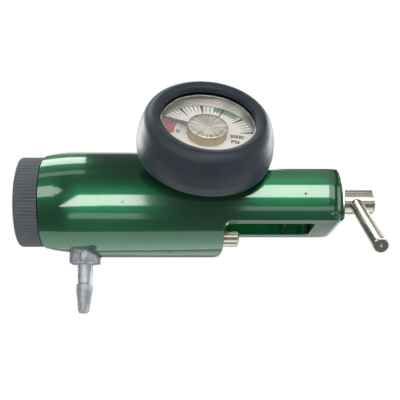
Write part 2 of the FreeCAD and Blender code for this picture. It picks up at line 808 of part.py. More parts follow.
def selector_housing():
    skirt = "head_radius - housing_skirt_wall"
    end = "(housing_skirt + %s)" % HOUSING_LENGTH
    blank = turned("housing_blank", [
        ("spindle_radius + running_gap", "housing_skirt"),
        (skirt, "housing_skirt"),
        (skirt, "0"),
        ("head_radius", "0"),
        ("head_radius", end),
        ("spindle_radius + running_gap", end),
    ])
    blank.Placement = along_axis(SKIRT_START, -1)
    tools = housing_grooves()
    port = along_axis(HOUSING_START + " + tool_overrun", -1)
    port.Base = port.Base + Vector(0, 0, -value("port_circle"))
    reach = "(tool_overrun + barb_reach)"
    tools.append(cylinder("port_drill", "port_radius", reach, port))
    down = radial(BARB_PLACE, 180, value("port_circle - outlet_radius"))
    tools.append(cylinder("outlet_drill", "outlet_radius", "main_bore_radius", down))
    seat = along_axis(HOUSING_START + " - port_ring_wire * 1.7", 1)
    seat.Base = seat.Base + Vector(0, 0, -value("port_circle"))
    recess = cylinder("port_recess", "port_ring_radius + port_ring_wire + sealing_gap", "tool_overrun", seat)
    tools.append(recess)
    pocket = along_axis(HOUSING_END + " + detent_pocket", -1)
    pocket.Base = pocket.Base + Vector(0, 0, value("detent_circle"))
    tools.append(cylinder("detent_drill", "detent_ball_radius + sealing_gap",
                          "detent_pocket + tool_overrun", pocket))
    leak = radial(RELIEF_PLACE, -90, value("head_radius - housing_skirt_wall - tool_overrun"))
    tools.append(cylinder("skirt_hole", "relief_hole_radius", "main_bore_radius", leak))
    kept(cut_from("selector_housing", blank, tools), "selector_housing")


def selector_seals():
    rings = []
    for side in (-1, 1):
        place = along_axis(BARB_PLACE + " - %d * housing_ring_pitch / 2" % side)
        rings.append(ring("housing_ring_%d" % (side + 2),
                          "main_bore_radius - housing_ring_wire - sealing_gap", "housing_ring_wire", place))
    kept(joined("housing_o_rings", rings), "housing_o_rings")
    place = along_axis(HOUSING_START + " - port_ring_wire * 0.7 + sealing_gap")
    place.Base = place.Base + Vector(0, 0, -value("port_circle"))
    kept(ring("port_seal", "port_ring_radius", "port_ring_wire", place), "port_seal")


def housing_circlip():
    """Internal retaining ring with its gap and its two plier holes."""
    body = turned("circlip_blank", [
        ("main_bore_radius + circlip_depth - circlip_width", "0"),
        ("main_bore_radius + circlip_depth - sealing_gap", "0"),
        ("main_bore_radius + circlip_depth - sealing_gap", "circlip_thickness"),
        ("main_bore_radius + circlip_depth - circlip_width", "circlip_thickness"),
    ])
    body.Placement = along_axis(CIRCLIP_START, -1)
    gap = doc.addObject("Part::Box", "circlip_opening")
    gap.setExpression("Length", tied("circlip_thickness + 2 * tool_overrun"))
    gap.setExpression("Width", tied("circlip_gap"))
    gap.setExpression("Height", tied("main_bore_radius + tool_overrun"))
    gap.Placement = Placement(
        Vector(value(CIRCLIP_END + " - tool_overrun"), -value("circlip_gap / 2"), 0), Rotation())
    kept(cut_from("housing_ring", body, [gap]), "housing_ring")


def spindle_and_disc():
    flat_start = "(%s - %s + tool_overrun)" % (DISC_START, HOUSING_START)
    end = "(%s - %s)" % (DISC_START, SPINDLE_END)
    blank = turned("spindle_blank", [
        ("0", "0 - spindle_head"),
        ("spindle_head_radius", "0 - spindle_head"),
        ("spindle_head_radius", "0"),
        ("spindle_radius", "0"),
        ("spindle_radius", end),
        ("knob_screw_radius + thread_gap", end),
        ("knob_screw_radius + thread_gap", end + " - knob_screw_length"),
        ("0", end + " - knob_screw_length"),
    ])
    blank.Placement = along_axis(DISC_START, -1)
    flats = []
    for name, start, stop in (
            ("disc_flat", DISC_START, DISC_START + " - disc_thickness"),
            ("knob_flat", HOUSING_END + " - detent_stand", SPINDLE_END + " - tool_overrun")):
        flat = doc.addObject("Part::Box", name)
        flat.setExpression("Length", tied("(%s) - (%s)" % (start, stop)))
        flat.setExpression("Width", tied("4 * spindle_radius"))
        flat.setExpression("Height", tied("spindle_radius"))
        flat.Placement = Placement(
            Vector(value(stop), -value("2 * spindle_radius"), value("spindle_flat")), Rotation())
        flats.append(flat)
    kept(cut_from("selector_spindle", blank, flats), "selector_spindle")

    plate = cylinder("disc_blank", "head_radius - housing_skirt_wall - rest_gap",
                     "disc_thickness - sealing_gap", along_axis(DISC_START + " - sealing_gap / 2", -1))
    tools = [d_shaft("disc_bore", DISC_START + " + tool_overrun", "disc_thickness + 2 * tool_overrun")]
    count = int(value("flow_count"))
    for number in range(1, count):
        swing = math.radians(180 + 360.0 * number / count)
        drill = along_axis(DISC_START + " + tool_overrun", -1)
        drill.Base = drill.Base + Vector(0, math.sin(swing), math.cos(swing)) * value("port_circle")
        size = "first_flow_radius + %d * flow_step" % (number - 1)
        tools.append(cylinder("flow_hole_%02d" % number, size, "disc_thickness + 2 * tool_overrun", drill))
    kept(cut_from("orifice_disc", plate, tools), "orifice_disc")


def d_shaft(name, start, length):
    """A round bar with one flat, a little larger than the spindle."""
    bar = cylinder(name + "_round", "spindle_radius + sealing_gap", length, along_axis(start, -1))
    box = doc.addObject("Part::Box", name + "_flat")
    box.setExpression("Length", tied("(%s) + 2 * tool_overrun" % length))
    box.setExpression("Width", tied("4 * spindle_radius"))
    box.setExpression("Height", tied("spindle_radius"))
    box.Placement = Placement(
        Vector(value("(%s) - (%s) - tool_overrun" % (start, length)), -value("2 * spindle_radius"),
               value("spindle_flat + sealing_gap")), Rotation())
    return cut_from(name, bar, [box])


def detent():
    centre = HOUSING_END[:-1] + " - detent_stand + detent_ball_radius)"
    ball = doc.addObject("Part::Sphere", "detent_ball")
    ball.setExpression("Radius", tied("detent_ball_radius"))
    ball.Placement = Placement(Vector(value(centre), 0, value("detent_circle")), Rotation())
    kept(ball, "detent_ball")
    floor = HOUSING_END[:-1] + " + detent_pocket)"
    space = "(%s - %s - detent_ball_radius - 2 * detent_wire - 2 * sealing_gap)" % (floor, centre)
    mean = "(detent_ball_radius * 0.72)"
    place = along_axis(floor + " - detent_wire - sealing_gap", -1)
    place.Base = place.Base + Vector(0, 0, value("detent_circle"))
    kept(coil("detent_spring", mean, "detent_wire", space + " / detent_turns", "detent_turns", place),
         "detent_spring")


def selector_knob():
    """Ribbed knob with a boss that reaches into the barrel."""
    boss = "(%s - detent_stand - detent_clear - %s)" % (HOUSING_END, KNOB_START)
    body = turned("knob_blank", [
        ("0", "0 - " + boss),
        ("boss_radius", "0 - " + boss),
        ("boss_radius", "0"),
        ("knob_radius - rib_depth", "0"),
        ("knob_radius - rib_depth", "knob_foot"),
        ("knob_radius", "knob_foot"),
        ("knob_radius", "knob_length - knob_round"),
        ("knob_radius - knob_round", "knob_length"),
        ("knob_dish_radius", "knob_length"),
        ("knob_dish_radius - knob_dish", "knob_length - knob_dish"),
        ("0", "knob_length - knob_dish"),
    ], {6: ("knob_round", 1)})
    pitch = "(360 / knob_ribs)"
    base = "(knob_radius - rib_depth)"
    top = "(knob_radius + rib_depth)"
    groove = outline(body, "XY_Plane", [
        (base + " * cos(%s * 0.08)" % pitch, "0 - %s * sin(%s * 0.08)" % (base, pitch)),
        (top + " * cos(%s * 0.44)" % pitch, "0 - %s * sin(%s * 0.44)" % (top, pitch)),
        (top + " * cos(%s * 0.44)" % pitch, "%s * sin(%s * 0.44)" % (top, pitch)),
        (base + " * cos(%s * 0.08)" % pitch, "%s * sin(%s * 0.08)" % (base, pitch)),
    ])
    cut = body.newObject("PartDesign::Pocket", "rib_gap")
    cut.Profile = groove
    cut.Type = "Length"
    cut.Reversed = True
    cut.setExpression("Length", tied("knob_length - knob_round * 1.2"))
    doc.recompute()
    pattern = body.newObject("PartDesign::PolarPattern", "rib_gaps")
    pattern.Originals = [cut]
    pattern.Axis = (groove, ["N_Axis"])
    pattern.Angle = 360
    pattern.setExpression("Occurrences", tied("knob_ribs"))
    body.Tip = pattern
    doc.recompute()
    body.Placement = along_axis(KNOB_START, -1)

    tools = [d_shaft("knob_bore", HOUSING_END, "(%s - %s)" % (HOUSING_END, SPINDLE_END))]
    tools.append(cylinder("screw_clearance", "knob_screw_radius + 2 * thread_gap", "knob_length",
                          along_axis(SPINDLE_END + " + tool_overrun", -1)))
    tools.append(cylinder("screw_recess", "knob_screw_head_radius + rest_gap", "knob_length",
                          along_axis(SPINDLE_END + " - sealing_gap - 0.3", -1)))
    count = int(value("flow_count"))
    for number in range(count):
        swing = 2 * math.pi * number / count
        dimple = doc.addObject("Part::Cone", "dimple_%02d" % number)
        dimple.setExpression("Radius1", tied("detent_dimple_radius * 0.3"))
        dimple.setExpression("Radius2", tied("detent_dimple_radius"))
        dimple.setExpression("Height", tied("detent_dimple"))
        place = along_axis(HOUSING_END + " - detent_stand - detent_clear - detent_dimple")
        place.Base = place.Base + Vector(0, math.sin(swing), math.cos(swing)) * value("detent_circle")
        dimple.Placement = place
        tools.append(dimple)
    kept(cut_from("selector_knob", body, tools), "selector_knob")


def knob_screw():
    seat = SPINDLE_END[:-1] + " - sealing_gap - 0.3)"
    blank = turned("knob_screw_blank", [
        ("0", "0 - knob_screw_length + rest_gap"),
        ("knob_screw_radius", "0 - knob_screw_length + rest_gap"),
        ("knob_screw_radius", "0"),
        ("knob_screw_head_radius", "0"),
        ("knob_screw_head_radius", "knob_screw_head"),
        ("0", "knob_screw_head"),
    ])
    blank.Placement = along_axis(seat, -1)
    socket = hexagon("knob_socket", "2 * knob_screw_socket", "knob_screw_head",
                     along_axis(seat + " - knob_screw_head * 0.4", -1))
    kept(cut_from("knob_screw", blank, [socket]), "knob_screw")


def hose_outlet():
    floor = value("spot_floor")
    kept(turned_at("barb_seal", [
        ("barb_thread_radius + thread_gap", "0"),
        ("barb_seal_radius", "0"),
        ("barb_seal_radius", "barb_seal_thickness"),
        ("barb_thread_radius + thread_gap", "barb_seal_thickness"),
    ], radial(BARB_PLACE, 180, floor)), "barb_seal")

    place = radial(BARB_PLACE, 180, floor + value("barb_seal_thickness"))
    thread_end = "main_bore_radius + barb_thread_floor + rest_gap - spot_floor - barb_seal_thickness"
    hex_end = "(hex_height - barb_seal_thickness)"
    shank = hex_end[:-1] + " + shank_length)"
    land = shank[:-1] + " + barb_land)"
    tip = land[:-1] + " + barb_cone)"
    core = turned_at("barb_core", [
        ("barb_bore_radius", thread_end),
        ("barb_thread_radius", thread_end),
        ("barb_thread_radius", hex_end),
        ("shank_radius", hex_end),
        ("shank_neck_radius", shank),
        ("barb_radius", shank),
        ("barb_radius", land),
        ("barb_tip_radius", tip),
        ("barb_tip_radius - barb_tip_round / 2", tip + " + barb_tip_round"),
        ("barb_bore_radius", tip + " + barb_tip_round"),
    ], place)
    turn = Placement(Vector(0, 0, 0), Rotation(Vector(0, 0, 1), value("hex_turn")))
    nut = hexagon("barb_hex", "hex_width", hex_end, place.multiply(turn))
    chamfer = turned_at("barb_chamfer", [
        ("0", "0"),
        ("hex_width / 2", "0"),
        ("hex_width / 2 + hex_chamfer * 1.7", "hex_chamfer"),
        ("hex_width / 2 + hex_chamfer * 1.7", hex_end + " - hex_chamfer * 0.6"),
        ("hex_width / 2 + hex_chamfer * 0.6", hex_end),
        ("0", hex_end),
    ], place)
    rounded = shared("barb_nut", nut, chamfer)
    drill = radial(BARB_PLACE, 180, value("main_bore_radius") - value("tool_overrun"))
    bore = cylinder("barb_drill", "barb_bore_radius", "bar_radius + knob_radius", drill)
    kept(cut_from("outlet_barb", joined("barb_whole", [core, rounded]), [bore]), "outlet_barb")


def turned_at(name, corners, place, arcs=None):
    """A turned body in its place."""
    body = turned(name, corners, arcs)
    body.Placement = place
    return body


def relief_valve():
    seat = value("relief_seat + sealing_gap")
    kept(turned_at("relief_poppet", [
        ("0", "0"),
        ("relief_poppet_radius", "0"),
        ("relief_poppet_radius", "relief_poppet_thickness"),
        ("relief_poppet_radius / 3", "relief_poppet_thickness"),
        ("relief_poppet_radius / 3", "relief_poppet_thickness + relief_lift"),
        ("0", "relief_poppet_thickness + relief_lift"),
    ], radial(RELIEF_PLACE, -90, seat)), "relief_poppet")
    cap_floor = "(relief_cap_top - relief_cap_thickness)"
    blank = turned_at("relief_cap_blank", [
        ("relief_vent_radius", "0"),
        ("relief_pocket_radius - thread_gap", "0"),
        ("relief_pocket_radius - thread_gap", "relief_cap_thickness"),
        ("relief_vent_radius", "relief_cap_thickness"),
    ], radial(RELIEF_PLACE, -90, value(cap_floor)))
    socket = hexagon("relief_socket", "relief_pocket_radius", "relief_cap_thickness",
                     radial(RELIEF_PLACE, -90, value(cap_floor + " + relief_cap_thickness / 2")))
    kept(cut_from("relief_cap", blank, [socket]), "relief_cap")
    start = value("relief_seat + 2 * sealing_gap + relief_poppet_thickness + relief_wire")
    pitch = "((%s - relief_seat - relief_poppet_thickness - 2 * relief_wire - 4 * sealing_gap)" % cap_floor
    kept(coil("relief_spring", "relief_poppet_radius * 0.65", "relief_wire", pitch + " / relief_turns)",
              "relief_turns", radial(RELIEF_PLACE, -90, start)), "relief_spring")


def clamp_screw():
    """Screw with a cone tip, a groove for its ring, and a hub that carries the bar."""
    def reach(place):
        return "(%s - %s)" % (place, SCREW_TIP)
    groove = "(screw_cone)"
    blank = turned("screw_blank", [
        ("0", "0"),
        ("screw_cone_radius", "0"),
        ("groove_radius", "screw_cone * 0.6"),
        ("groove_radius + 0.7", "screw_cone * 0.6"),
        ("groove_radius + 0.7", groove),
        ("groove_radius", groove),
        ("groove_radius", groove + " + groove_width"),
        ("screw_radius", groove + " + groove_width"),
        ("screw_radius", reach(HUB_START)),
        ("hub_radius", reach(HUB_START)),
        ("hub_radius", reach(HUB_END) + " - hub_chamfer"),
        ("hub_radius - hub_chamfer", reach(HUB_END)),
        ("0", reach(HUB_END)),
    ])
    blank.Placement = along_axis(SCREW_TIP)
    hole = radial(BAR_HOLE, 90 + value("tee_droop"), -value("hub_radius + tool_overrun"))
    drill = cylinder("bar_hole", "tee_radius + bar_hole_gap", "2 * hub_radius + 2 * tool_overrun", hole)
    kept(cut_from("clamp_screw", blank, [drill]), "clamp_screw")

    retainer = turned_at("retainer_blank", [
        ("groove_radius + running_gap", "0"),
        ("retainer_radius", "0"),
        ("retainer_radius", "retainer_thickness"),
        ("groove_radius + running_gap", "retainer_thickness"),
    ], along_axis(SCREW_TIP + " + screw_cone + (groove_width - retainer_thickness) / 2"))
    gap = doc.addObject("Part::Box", "retainer_gap")
    gap.setExpression("Length", tied("retainer_thickness + 2 * tool_overrun"))
    gap.setExpression("Width", tied("retainer_opening"))
    gap.setExpression("Height", tied("retainer_radius + tool_overrun"))
    gap.Placement = Placement(
        Vector(value(SCREW_TIP + " + screw_cone - tool_overrun"), -value("retainer_opening / 2"), 0),
        Rotation())
    kept(cut_from("screw_retaining_ring", retainer, [gap]), "screw_retaining_ring")


def tee_bar():
    """Sliding bar with upset ends, pushed out towards the front as far as it goes."""
    far = "(hub_radius + rest_gap + tee_collar)"
    bar = turned_at("tee_bar", [
        ("0", "0"),
        ("tee_collar_radius - tee_chamfer", "0"),
        ("tee_collar_radius", "tee_chamfer"),
        ("tee_collar_radius", "tee_collar"),
        ("tee_radius", "tee_collar"),
        ("tee_radius", "tee_length - tee_collar"),
        ("tee_collar_radius", "tee_length - tee_collar"),
        ("tee_collar_radius", "tee_length - tee_chamfer"),
        ("tee_collar_radius - tee_chamfer", "tee_length"),
        ("0", "tee_length"),
    ], radial(BAR_HOLE, 90 + value("tee_droop"), -value(far)))
    kept(bar, "tee_bar")


def gauge_at(height):
    """A frame on the gauge's axis at a height above the inlet axis."""
    return gauge_frame().multiply(Placement(Vector(0, 0, value(height)), Rotation()))


def gauge_connection():
    kept(turned_at("gauge_seal", [
        ("gauge_thread_radius + thread_gap", "0"),
        ("gauge_seal_radius", "0"),
        ("gauge_seal_radius", "gauge_seal_thickness"),
        ("gauge_thread_radius + thread_gap", "gauge_seal_thickness"),
    ], gauge_at("gauge_spot")), "gauge_seal")

    seat = "(gauge_spot + gauge_seal_thickness)"
    top = "(%s - %s)" % (SOCKET_TOP, seat)
    shaft = turned_at("stem_core", [
        ("gauge_bore_radius", "0 - gauge_thread_length"),
        ("gauge_thread_radius", "0 - gauge_thread_length"),
        ("gauge_thread_radius", "gauge_neck"),
        ("gauge_socket_radius", "gauge_neck"),
        ("gauge_socket_radius", top),
        ("arbor_radius + running_gap", top),
        ("arbor_radius + running_gap", top + " - arbor_depth"),
        ("gauge_bore_radius", top + " - arbor_depth"),
    ], gauge_at(seat))
    nut = hexagon("stem_hex", "gauge_hex_width", "gauge_neck - sealing_gap", gauge_at(seat))
    bore = cylinder("stem_drill", "gauge_bore_radius", "bar_radius",
                    gauge_at(seat + " - gauge_thread_length - tool_overrun"))
    kept(cut_from("gauge_stem", joined("stem_whole", [shaft, nut]), [bore]), "gauge_stem")

    space = "(dial_rise - dial_thickness - case_wall - 2 * coil_tube - rest_gap - 4 * sealing_gap)"
    base = CASE_BOTTOM + " + case_wall + coil_tube + rest_gap"
    kept(coil("bourdon_coil", "coil_radius", "coil_tube", space + " / coil_turns", "coil_turns",
              gauge_at(base)), "bourdon_coil")


def gauge_shell():
    depth = "(dial_rise + window_rise)"
    step = "(dial_rise - dial_thickness)"
    ledge = "(dial_rise + window_rise - window_thickness)"
    kept(turned_at("gauge_case", [
        ("gauge_socket_radius + thread_gap", "0"),
        ("case_radius", "0"),
        ("case_radius", depth),
        (WINDOW_RADIUS + " + sealing_gap", depth),
        (WINDOW_RADIUS + " + sealing_gap", ledge),
        (CASE_INNER, ledge),
        (CASE_INNER, step),
        (CASE_INNER + " - case_step", step),
        (CASE_INNER + " - case_step", "case_wall"),
        ("gauge_socket_radius + thread_gap", "case_wall"),
    ], gauge_at(CASE_BOTTOM)), "gauge_case")

    kept(turned_at("gauge_dial", [
        ("dial_hole_radius", "0"),
        (CASE_INNER + " - sealing_gap", "0"),
        (CASE_INNER + " - sealing_gap", "dial_thickness"),
        ("dial_hole_radius", "dial_thickness"),
    ], gauge_at(DIAL + " - dial_thickness")), "gauge_dial")

    kept(cylinder("gauge_window", WINDOW_RADIUS, "window_thickness",
                  gauge_at(WINDOW + " - window_thickness")), "gauge_window")

    kept(turned_at("gauge_bezel", [
        ("case_radius + thread_gap", "0 - bezel_skirt"),
        (BEZEL_RADIUS, "0 - bezel_skirt"),
        (BEZEL_RADIUS, "bezel_cap / 2"),
        (BEZEL_RADIUS + " - bezel_cap / 2", "bezel_cap"),
        (BEZEL_OPENING, "bezel_cap"),
        (BEZEL_OPENING, "0"),
        ("case_radius + thread_gap", "0"),
    ], gauge_at(WINDOW)), "gauge_bezel")


def needle(name, slack):
    """The pointer's needle, or with some slack the slot that it sits in."""
    body = doc.addObject("PartDesign::Body", name)
    root = "pointer_root + " + slack
    reach = CASE_INNER + " - pointer_tip_gap"
    profile = outline(body, "XY_Plane", [
        ("pointer_start - " + slack, "0 - pointer_root - " + slack),
        (reach, "0 - pointer_tip - " + slack),
        (reach + " + pointer_tip", "0"),
        (reach, "pointer_tip + " + slack),
        ("pointer_start - " + slack, root),
    ])
    pad = body.newObject("PartDesign::Pad", "thickness")
    pad.Profile = profile
    pad.setExpression("Length", tied("pointer_thickness + 2 * " + slack))
    body.Tip = pad
    swing = Placement(Vector(0, 0, -value(slack)), Rotation(Vector(0, 0, 1), value("pointer_angle")))
    body.Placement = gauge_at(POINTER).multiply(swing)
    doc.recompute()
    return body


def gauge_movement():
    """Dished brass hub on the arbor, with the pointer in a slot in its side."""
    kept(needle("gauge_pointer", "0 * thread_gap"), "gauge_pointer")
    base = DIAL + " + rest_gap"
    drop = SOCKET_TOP + " - arbor_depth + rest_gap"
    blank = turned_at("hub_blank", [
        ("0", drop),
        ("arbor_radius", drop),
        ("arbor_radius", base),
        ("gauge_hub_radius", base),
        ("gauge_hub_radius", HUB_TOP + " - gauge_hub_edge"),
        ("gauge_hub_radius - gauge_hub_edge", HUB_TOP),
        ("0", HUB_TOP + " - gauge_hub_dish"),
    ], gauge_at("0"))
    kept(cut_from("gauge_hub", blank, [needle("needle_slot", "thread_gap")]), "gauge_hub")


def gauge_boot():
    """Rubber cover: a rolled mouth, a bulging side and a rounded foot."""
    cap = WINDOW + " + bezel_cap + boot_gap"
    skirt = WINDOW + " - bezel_skirt - boot_gap"
    foot = "(%s - boot_foot_inset)" % BEZEL_RADIUS
    mouth = BEZEL_RADIUS + " - boot_mouth_inset"
    kept(turned_at("gauge_boot", [
        ("boot_hole_radius", BOOT_FLOOR),
        (foot, BOOT_FLOOR),
        (foot + " + boot_bottom_round", BOOT_FLOOR + " + boot_bottom_round"),
        (BEZEL_RADIUS + " + boot_shoulder_wall", BOOT_CREST + " - boot_shoulder_drop"),
        (BEZEL_RADIUS + " - boot_crest_inset", BOOT_CREST),
        (mouth, cap + " + boot_mouth_edge"),
        (mouth, cap),
        (BEZEL_RADIUS + " + boot_gap", cap),
        (BEZEL_RADIUS + " + boot_gap", skirt),
        ("case_radius + boot_gap", skirt),
        ("case_radius + boot_gap", CASE_BOTTOM + " - boot_gap"),
        ("boot_hole_radius", CASE_BOTTOM + " - boot_gap"),
    ], gauge_at("0"), {
        1: ("boot_bottom_round", 1),
        2: ("boot_side_bulge", 1),
        3: ("boot_crest_round", 1),
    }), "gauge_boot")


regulator_body()
inlet_pieces()
pressure_pieces()
selector_housing()
selector_seals()
housing_circlip()
spindle_and_disc()
detent()
selector_knob()
knob_screw()
hose_outlet()
relief_valve()
clamp_screw()
tee_bar()
gauge_connection()
gauge_shell()
gauge_movement()
gauge_boot()

doc.recompute()
for item in doc.Objects:
    if "Invalid" in item.State or "Error" in item.State:
        raise RuntimeError("%s failed: %s" % (item.Label, item.State))
for item in parts:
    if item.Shape.isNull() or not item.Shape.isValid() or not item.Shape.Solids:
        raise RuntimeError("%s has no valid solid" % item.Label)

os.makedirs("parts", exist_ok=True)
for item in parts:
    item.Shape.exportStep(os.path.join("parts", item.Label + ".step"))
    print("%s: %d solid(s), %.2f mm3" % (item.Label, len(item.Shape.Solids), item.Shape.Volume))
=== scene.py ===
# %% [markdown]
# # An oxygen regulator in Blender
#
# The real thing is a small brass and aluminium machine that clamps onto the valve of an oxygen
# cylinder. Its body is one green anodised bar. A ribbed knob sets the flow, a barb takes the
# hose, a gauge in a rubber boot shows the contents, and a screw with a sliding bar holds the
# regulator on the valve.
#
# The solids come from the CAD model, which the frame loads. They could be rendered as they are,
# but their meshes are loose triangles without any finish. This notebook gives them their looks:
# smooth surfaces worked out with numpy, metals and rubbers made from shader nodes, and a plain
# photo studio. Lengths are in millimetres until a mesh is written. Only merge distances, bump and
# soft edges are in metres, as Blender wants them.

# %% Load the frame
import math

import bmesh
import bpy
import numpy as np
from mathutils import Matrix, Vector
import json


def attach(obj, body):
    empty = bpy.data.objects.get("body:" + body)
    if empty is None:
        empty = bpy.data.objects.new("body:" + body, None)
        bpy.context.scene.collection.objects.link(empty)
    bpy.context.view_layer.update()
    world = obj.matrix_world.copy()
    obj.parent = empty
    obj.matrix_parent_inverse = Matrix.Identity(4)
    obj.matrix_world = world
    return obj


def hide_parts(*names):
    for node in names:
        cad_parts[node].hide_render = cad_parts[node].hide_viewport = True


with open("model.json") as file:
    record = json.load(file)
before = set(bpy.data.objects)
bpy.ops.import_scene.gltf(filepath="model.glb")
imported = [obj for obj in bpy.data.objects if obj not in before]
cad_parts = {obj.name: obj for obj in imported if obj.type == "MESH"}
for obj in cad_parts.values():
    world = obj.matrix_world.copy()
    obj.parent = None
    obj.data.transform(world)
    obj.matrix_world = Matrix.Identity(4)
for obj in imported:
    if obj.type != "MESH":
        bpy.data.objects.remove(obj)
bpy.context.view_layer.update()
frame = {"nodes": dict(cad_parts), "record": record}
NODES = frame["nodes"]
slot_of = {item["node"]: item["material_slot"] for item in frame["record"]["subparts"]}
MM = 0.001
print("nodes:", len(NODES))

# %% [markdown]
# ## The camera
#
# The photo was taken with a long lens from slightly below the regulator's own level. A camera
# needs a place, a direction and a field of view. Three turning angles could give the direction,
# but they are hard to check by eye. We build the rotation from three unit vectors instead: ahead,
# up and right.

# %% Place the camera
CAMERA_PLACE = np.array([-10.6, -282.9, -61.9])
VIEW_AHEAD = np.array([0.0, 0.9763, 0.2164])
VIEW_UP = np.array([0.0, -0.2164, 0.9763])
FOCAL_LENGTH_MM = 72.0
SENSOR_MM = 36.0

camera_data = bpy.data.cameras.new("photo_camera")
camera_data.lens = FOCAL_LENGTH_MM
camera_data.sensor_width = SENSOR_MM
camera_data.sensor_fit = "HORIZONTAL"
camera_data.clip_start = 0.01
camera = bpy.data.objects.new("photo_camera", camera_data)
bpy.context.scene.collection.objects.link(camera)
view = np.eye(4)
view[:3, 0], view[:3, 1], view[:3, 2] = np.cross(VIEW_AHEAD, VIEW_UP), VIEW_UP, -VIEW_AHEAD
view[:3, 3] = CAMERA_PLACE * MM
camera.matrix_world = Matrix(view.tolist())
bpy.context.scene.camera = camera
bpy.context.scene.view_settings.view_transform = "Standard"
print("camera at", (CAMERA_PLACE * MM).round(3))

# %% [markdown]
# ## Frames, profiles and grids
#
# Most pieces of a regulator are turned on a lathe. A turned surface is a profile of radius and
# height that goes round an axis. Blender's Screw modifier could do that, but with arrays we also
# get ribs and a skewed mouth from the same formula. A frame matrix says where the axis of a
# piece is, so that its surface can be worked out upright and then put in its place.

# %% Frames
def axis_frame(origin, along, across=(0.0, -1.0, 0.0)):
    """A 4 by 4 matrix: local Z goes along the axis, local X lies as near to across as it can."""
    z = np.asarray(along, float) / np.linalg.norm(along)
    x = np.asarray(across, float)
    x = x - z * np.dot(x, z)
    x = x / np.linalg.norm(x)
    matrix = np.eye(4)
    matrix[:3, 0], matrix[:3, 1], matrix[:3, 2], matrix[:3, 3] = x, np.cross(z, x), z, origin
    return matrix


GAUGE_REACH = -12.0
GAUGE_TILT = math.radians(54.0)
GAUGE_LEAN = math.radians(6.7)
gauge_out = np.array([math.sin(GAUGE_LEAN),
                      -math.cos(GAUGE_LEAN) * math.sin(GAUGE_TILT),
                      math.cos(GAUGE_LEAN) * math.cos(GAUGE_TILT)])
gauge_right = np.array([math.cos(GAUGE_LEAN),
                        math.sin(GAUGE_LEAN) * math.sin(GAUGE_TILT),
                        -math.sin(GAUGE_LEAN) * math.cos(GAUGE_TILT)])
GAUGE = axis_frame((GAUGE_REACH, 0, 0), gauge_out, gauge_right)
print("gauge axis", gauge_out.round(3))

# %% [markdown]
# A real corner is never perfectly sharp, and its small radius catches the light. A Bevel modifier
# would round every edge alike. This helper rounds each corner of a profile by its own radius.

# %% Rounded profiles
NEARLY_STRAIGHT = math.radians(89)
LARGEST_SHARE = 0.49


def rounded(points, radii, steps=5):
    """A profile whose corner i is replaced by an arc of radius radii[i] that touches both runs.

    The arc starts radius / tan(half the corner's angle) before the corner, and at most at
    LARGEST_SHARE of the shorter run.
    """
    points = np.asarray(points, float)
    out = [points[:1]]
    for i in range(1, len(points) - 1):
        before, here, after = points[i - 1], points[i], points[i + 1]
        a, b = before - here, after - here
        la, lb = np.linalg.norm(a), np.linalg.norm(b)
        a, b = a / la, b / lb
        half = math.acos(float(np.clip(np.dot(a, b), -1, 1))) / 2
        if radii[i] <= 0 or half > NEARLY_STRAIGHT:
            out.append(here[None])
            continue
        reach = min(radii[i] / math.tan(half), la * LARGEST_SHARE, lb * LARGEST_SHARE)
        true_radius = reach * math.tan(half)
        centre = here + (a + b) / np.linalg.norm(a + b) * true_radius / math.sin(half)
        first, last = here + a * reach - centre, here + b * reach - centre
        start = math.atan2(first[1], first[0])
        sweep = math.atan2(last[1], last[0]) - start
        sweep = (sweep + math.pi) % (2 * math.pi) - math.pi
        angles = start + sweep * np.linspace(0, 1, steps + 1)
        out.append(centre + true_radius * np.stack([np.cos(angles), np.sin(angles)], 1))
    out.append(points[-1:])
    return np.concatenate(out)


print("points of one rounded corner:", len(rounded([(0, 0), (1, 0), (1, 1)], [0, 0.2, 0])) - 2)

# %% [markdown]
# A surface on a grid becomes a mesh in one call. The first and the last column meet at a seam,
# and a profile that starts on its axis gives a ring of points in one place. Left alone, both
# would shade with a visible line, so such points are merged before the faces are smoothed.

# %% Write a grid of points into a mesh
SHARP_ANGLE = math.radians(38)
MERGE_DISTANCE = 1e-7


def smooth_by_angle(mesh, angle=SHARP_ANGLE):
    """Smooth faces, with edges sharp where two faces meet at more than the angle."""
    mesh.shade_smooth()
    mesh.set_sharp_from_angle(angle=angle)


def close_seams(mesh):
    """Merge the points at seams and poles, drop flat faces, and turn all faces outwards."""
    work = bmesh.new()
    work.from_mesh(mesh)
    bmesh.ops.remove_doubles(work, verts=work.verts, dist=MERGE_DISTANCE)
    bmesh.ops.dissolve_degenerate(work, edges=work.edges, dist=MERGE_DISTANCE / 10)
    bmesh.ops.recalc_face_normals(work, faces=work.faces)
    work.to_mesh(mesh)
    work.free()


def grid_mesh(name, points, place):
    """points has the shape (rows, columns, 3), closed round its columns. Each cell is one face."""
    rows, columns = points.shape[:2]
    flat = points.reshape(-1, 3) @ place[:3, :3].T + place[:3, 3]
    r, c = np.meshgrid(np.arange(rows - 1), np.arange(columns), indexing="ij")
    next_c = (c + 1) % columns
    faces = np.stack([r * columns + c, r * columns + next_c,
                      (r + 1) * columns + next_c, (r + 1) * columns + c], -1)
    mesh = bpy.data.meshes.new(name)
    mesh.from_pydata((flat * MM).tolist(), [], faces.reshape(-1, 4).tolist())
    across = np.stack([c, c + 1, c + 1, c], -1) / columns
    along = np.stack([r, r, r + 1, r + 1], -1) / rows
    mesh.uv_layers.new(name="grid").uv.foreach_set("vector", np.stack([across, along], -1).ravel())
    close_seams(mesh)
    smooth_by_angle(mesh)
    return mesh


def lathe_points(radius, height, angle):
    """(radius cos angle, radius sin angle, height) for each row of the profile and each angle."""
    return np.stack([radius * np.cos(angle), radius * np.sin(angle), height + 0 * angle], -1)


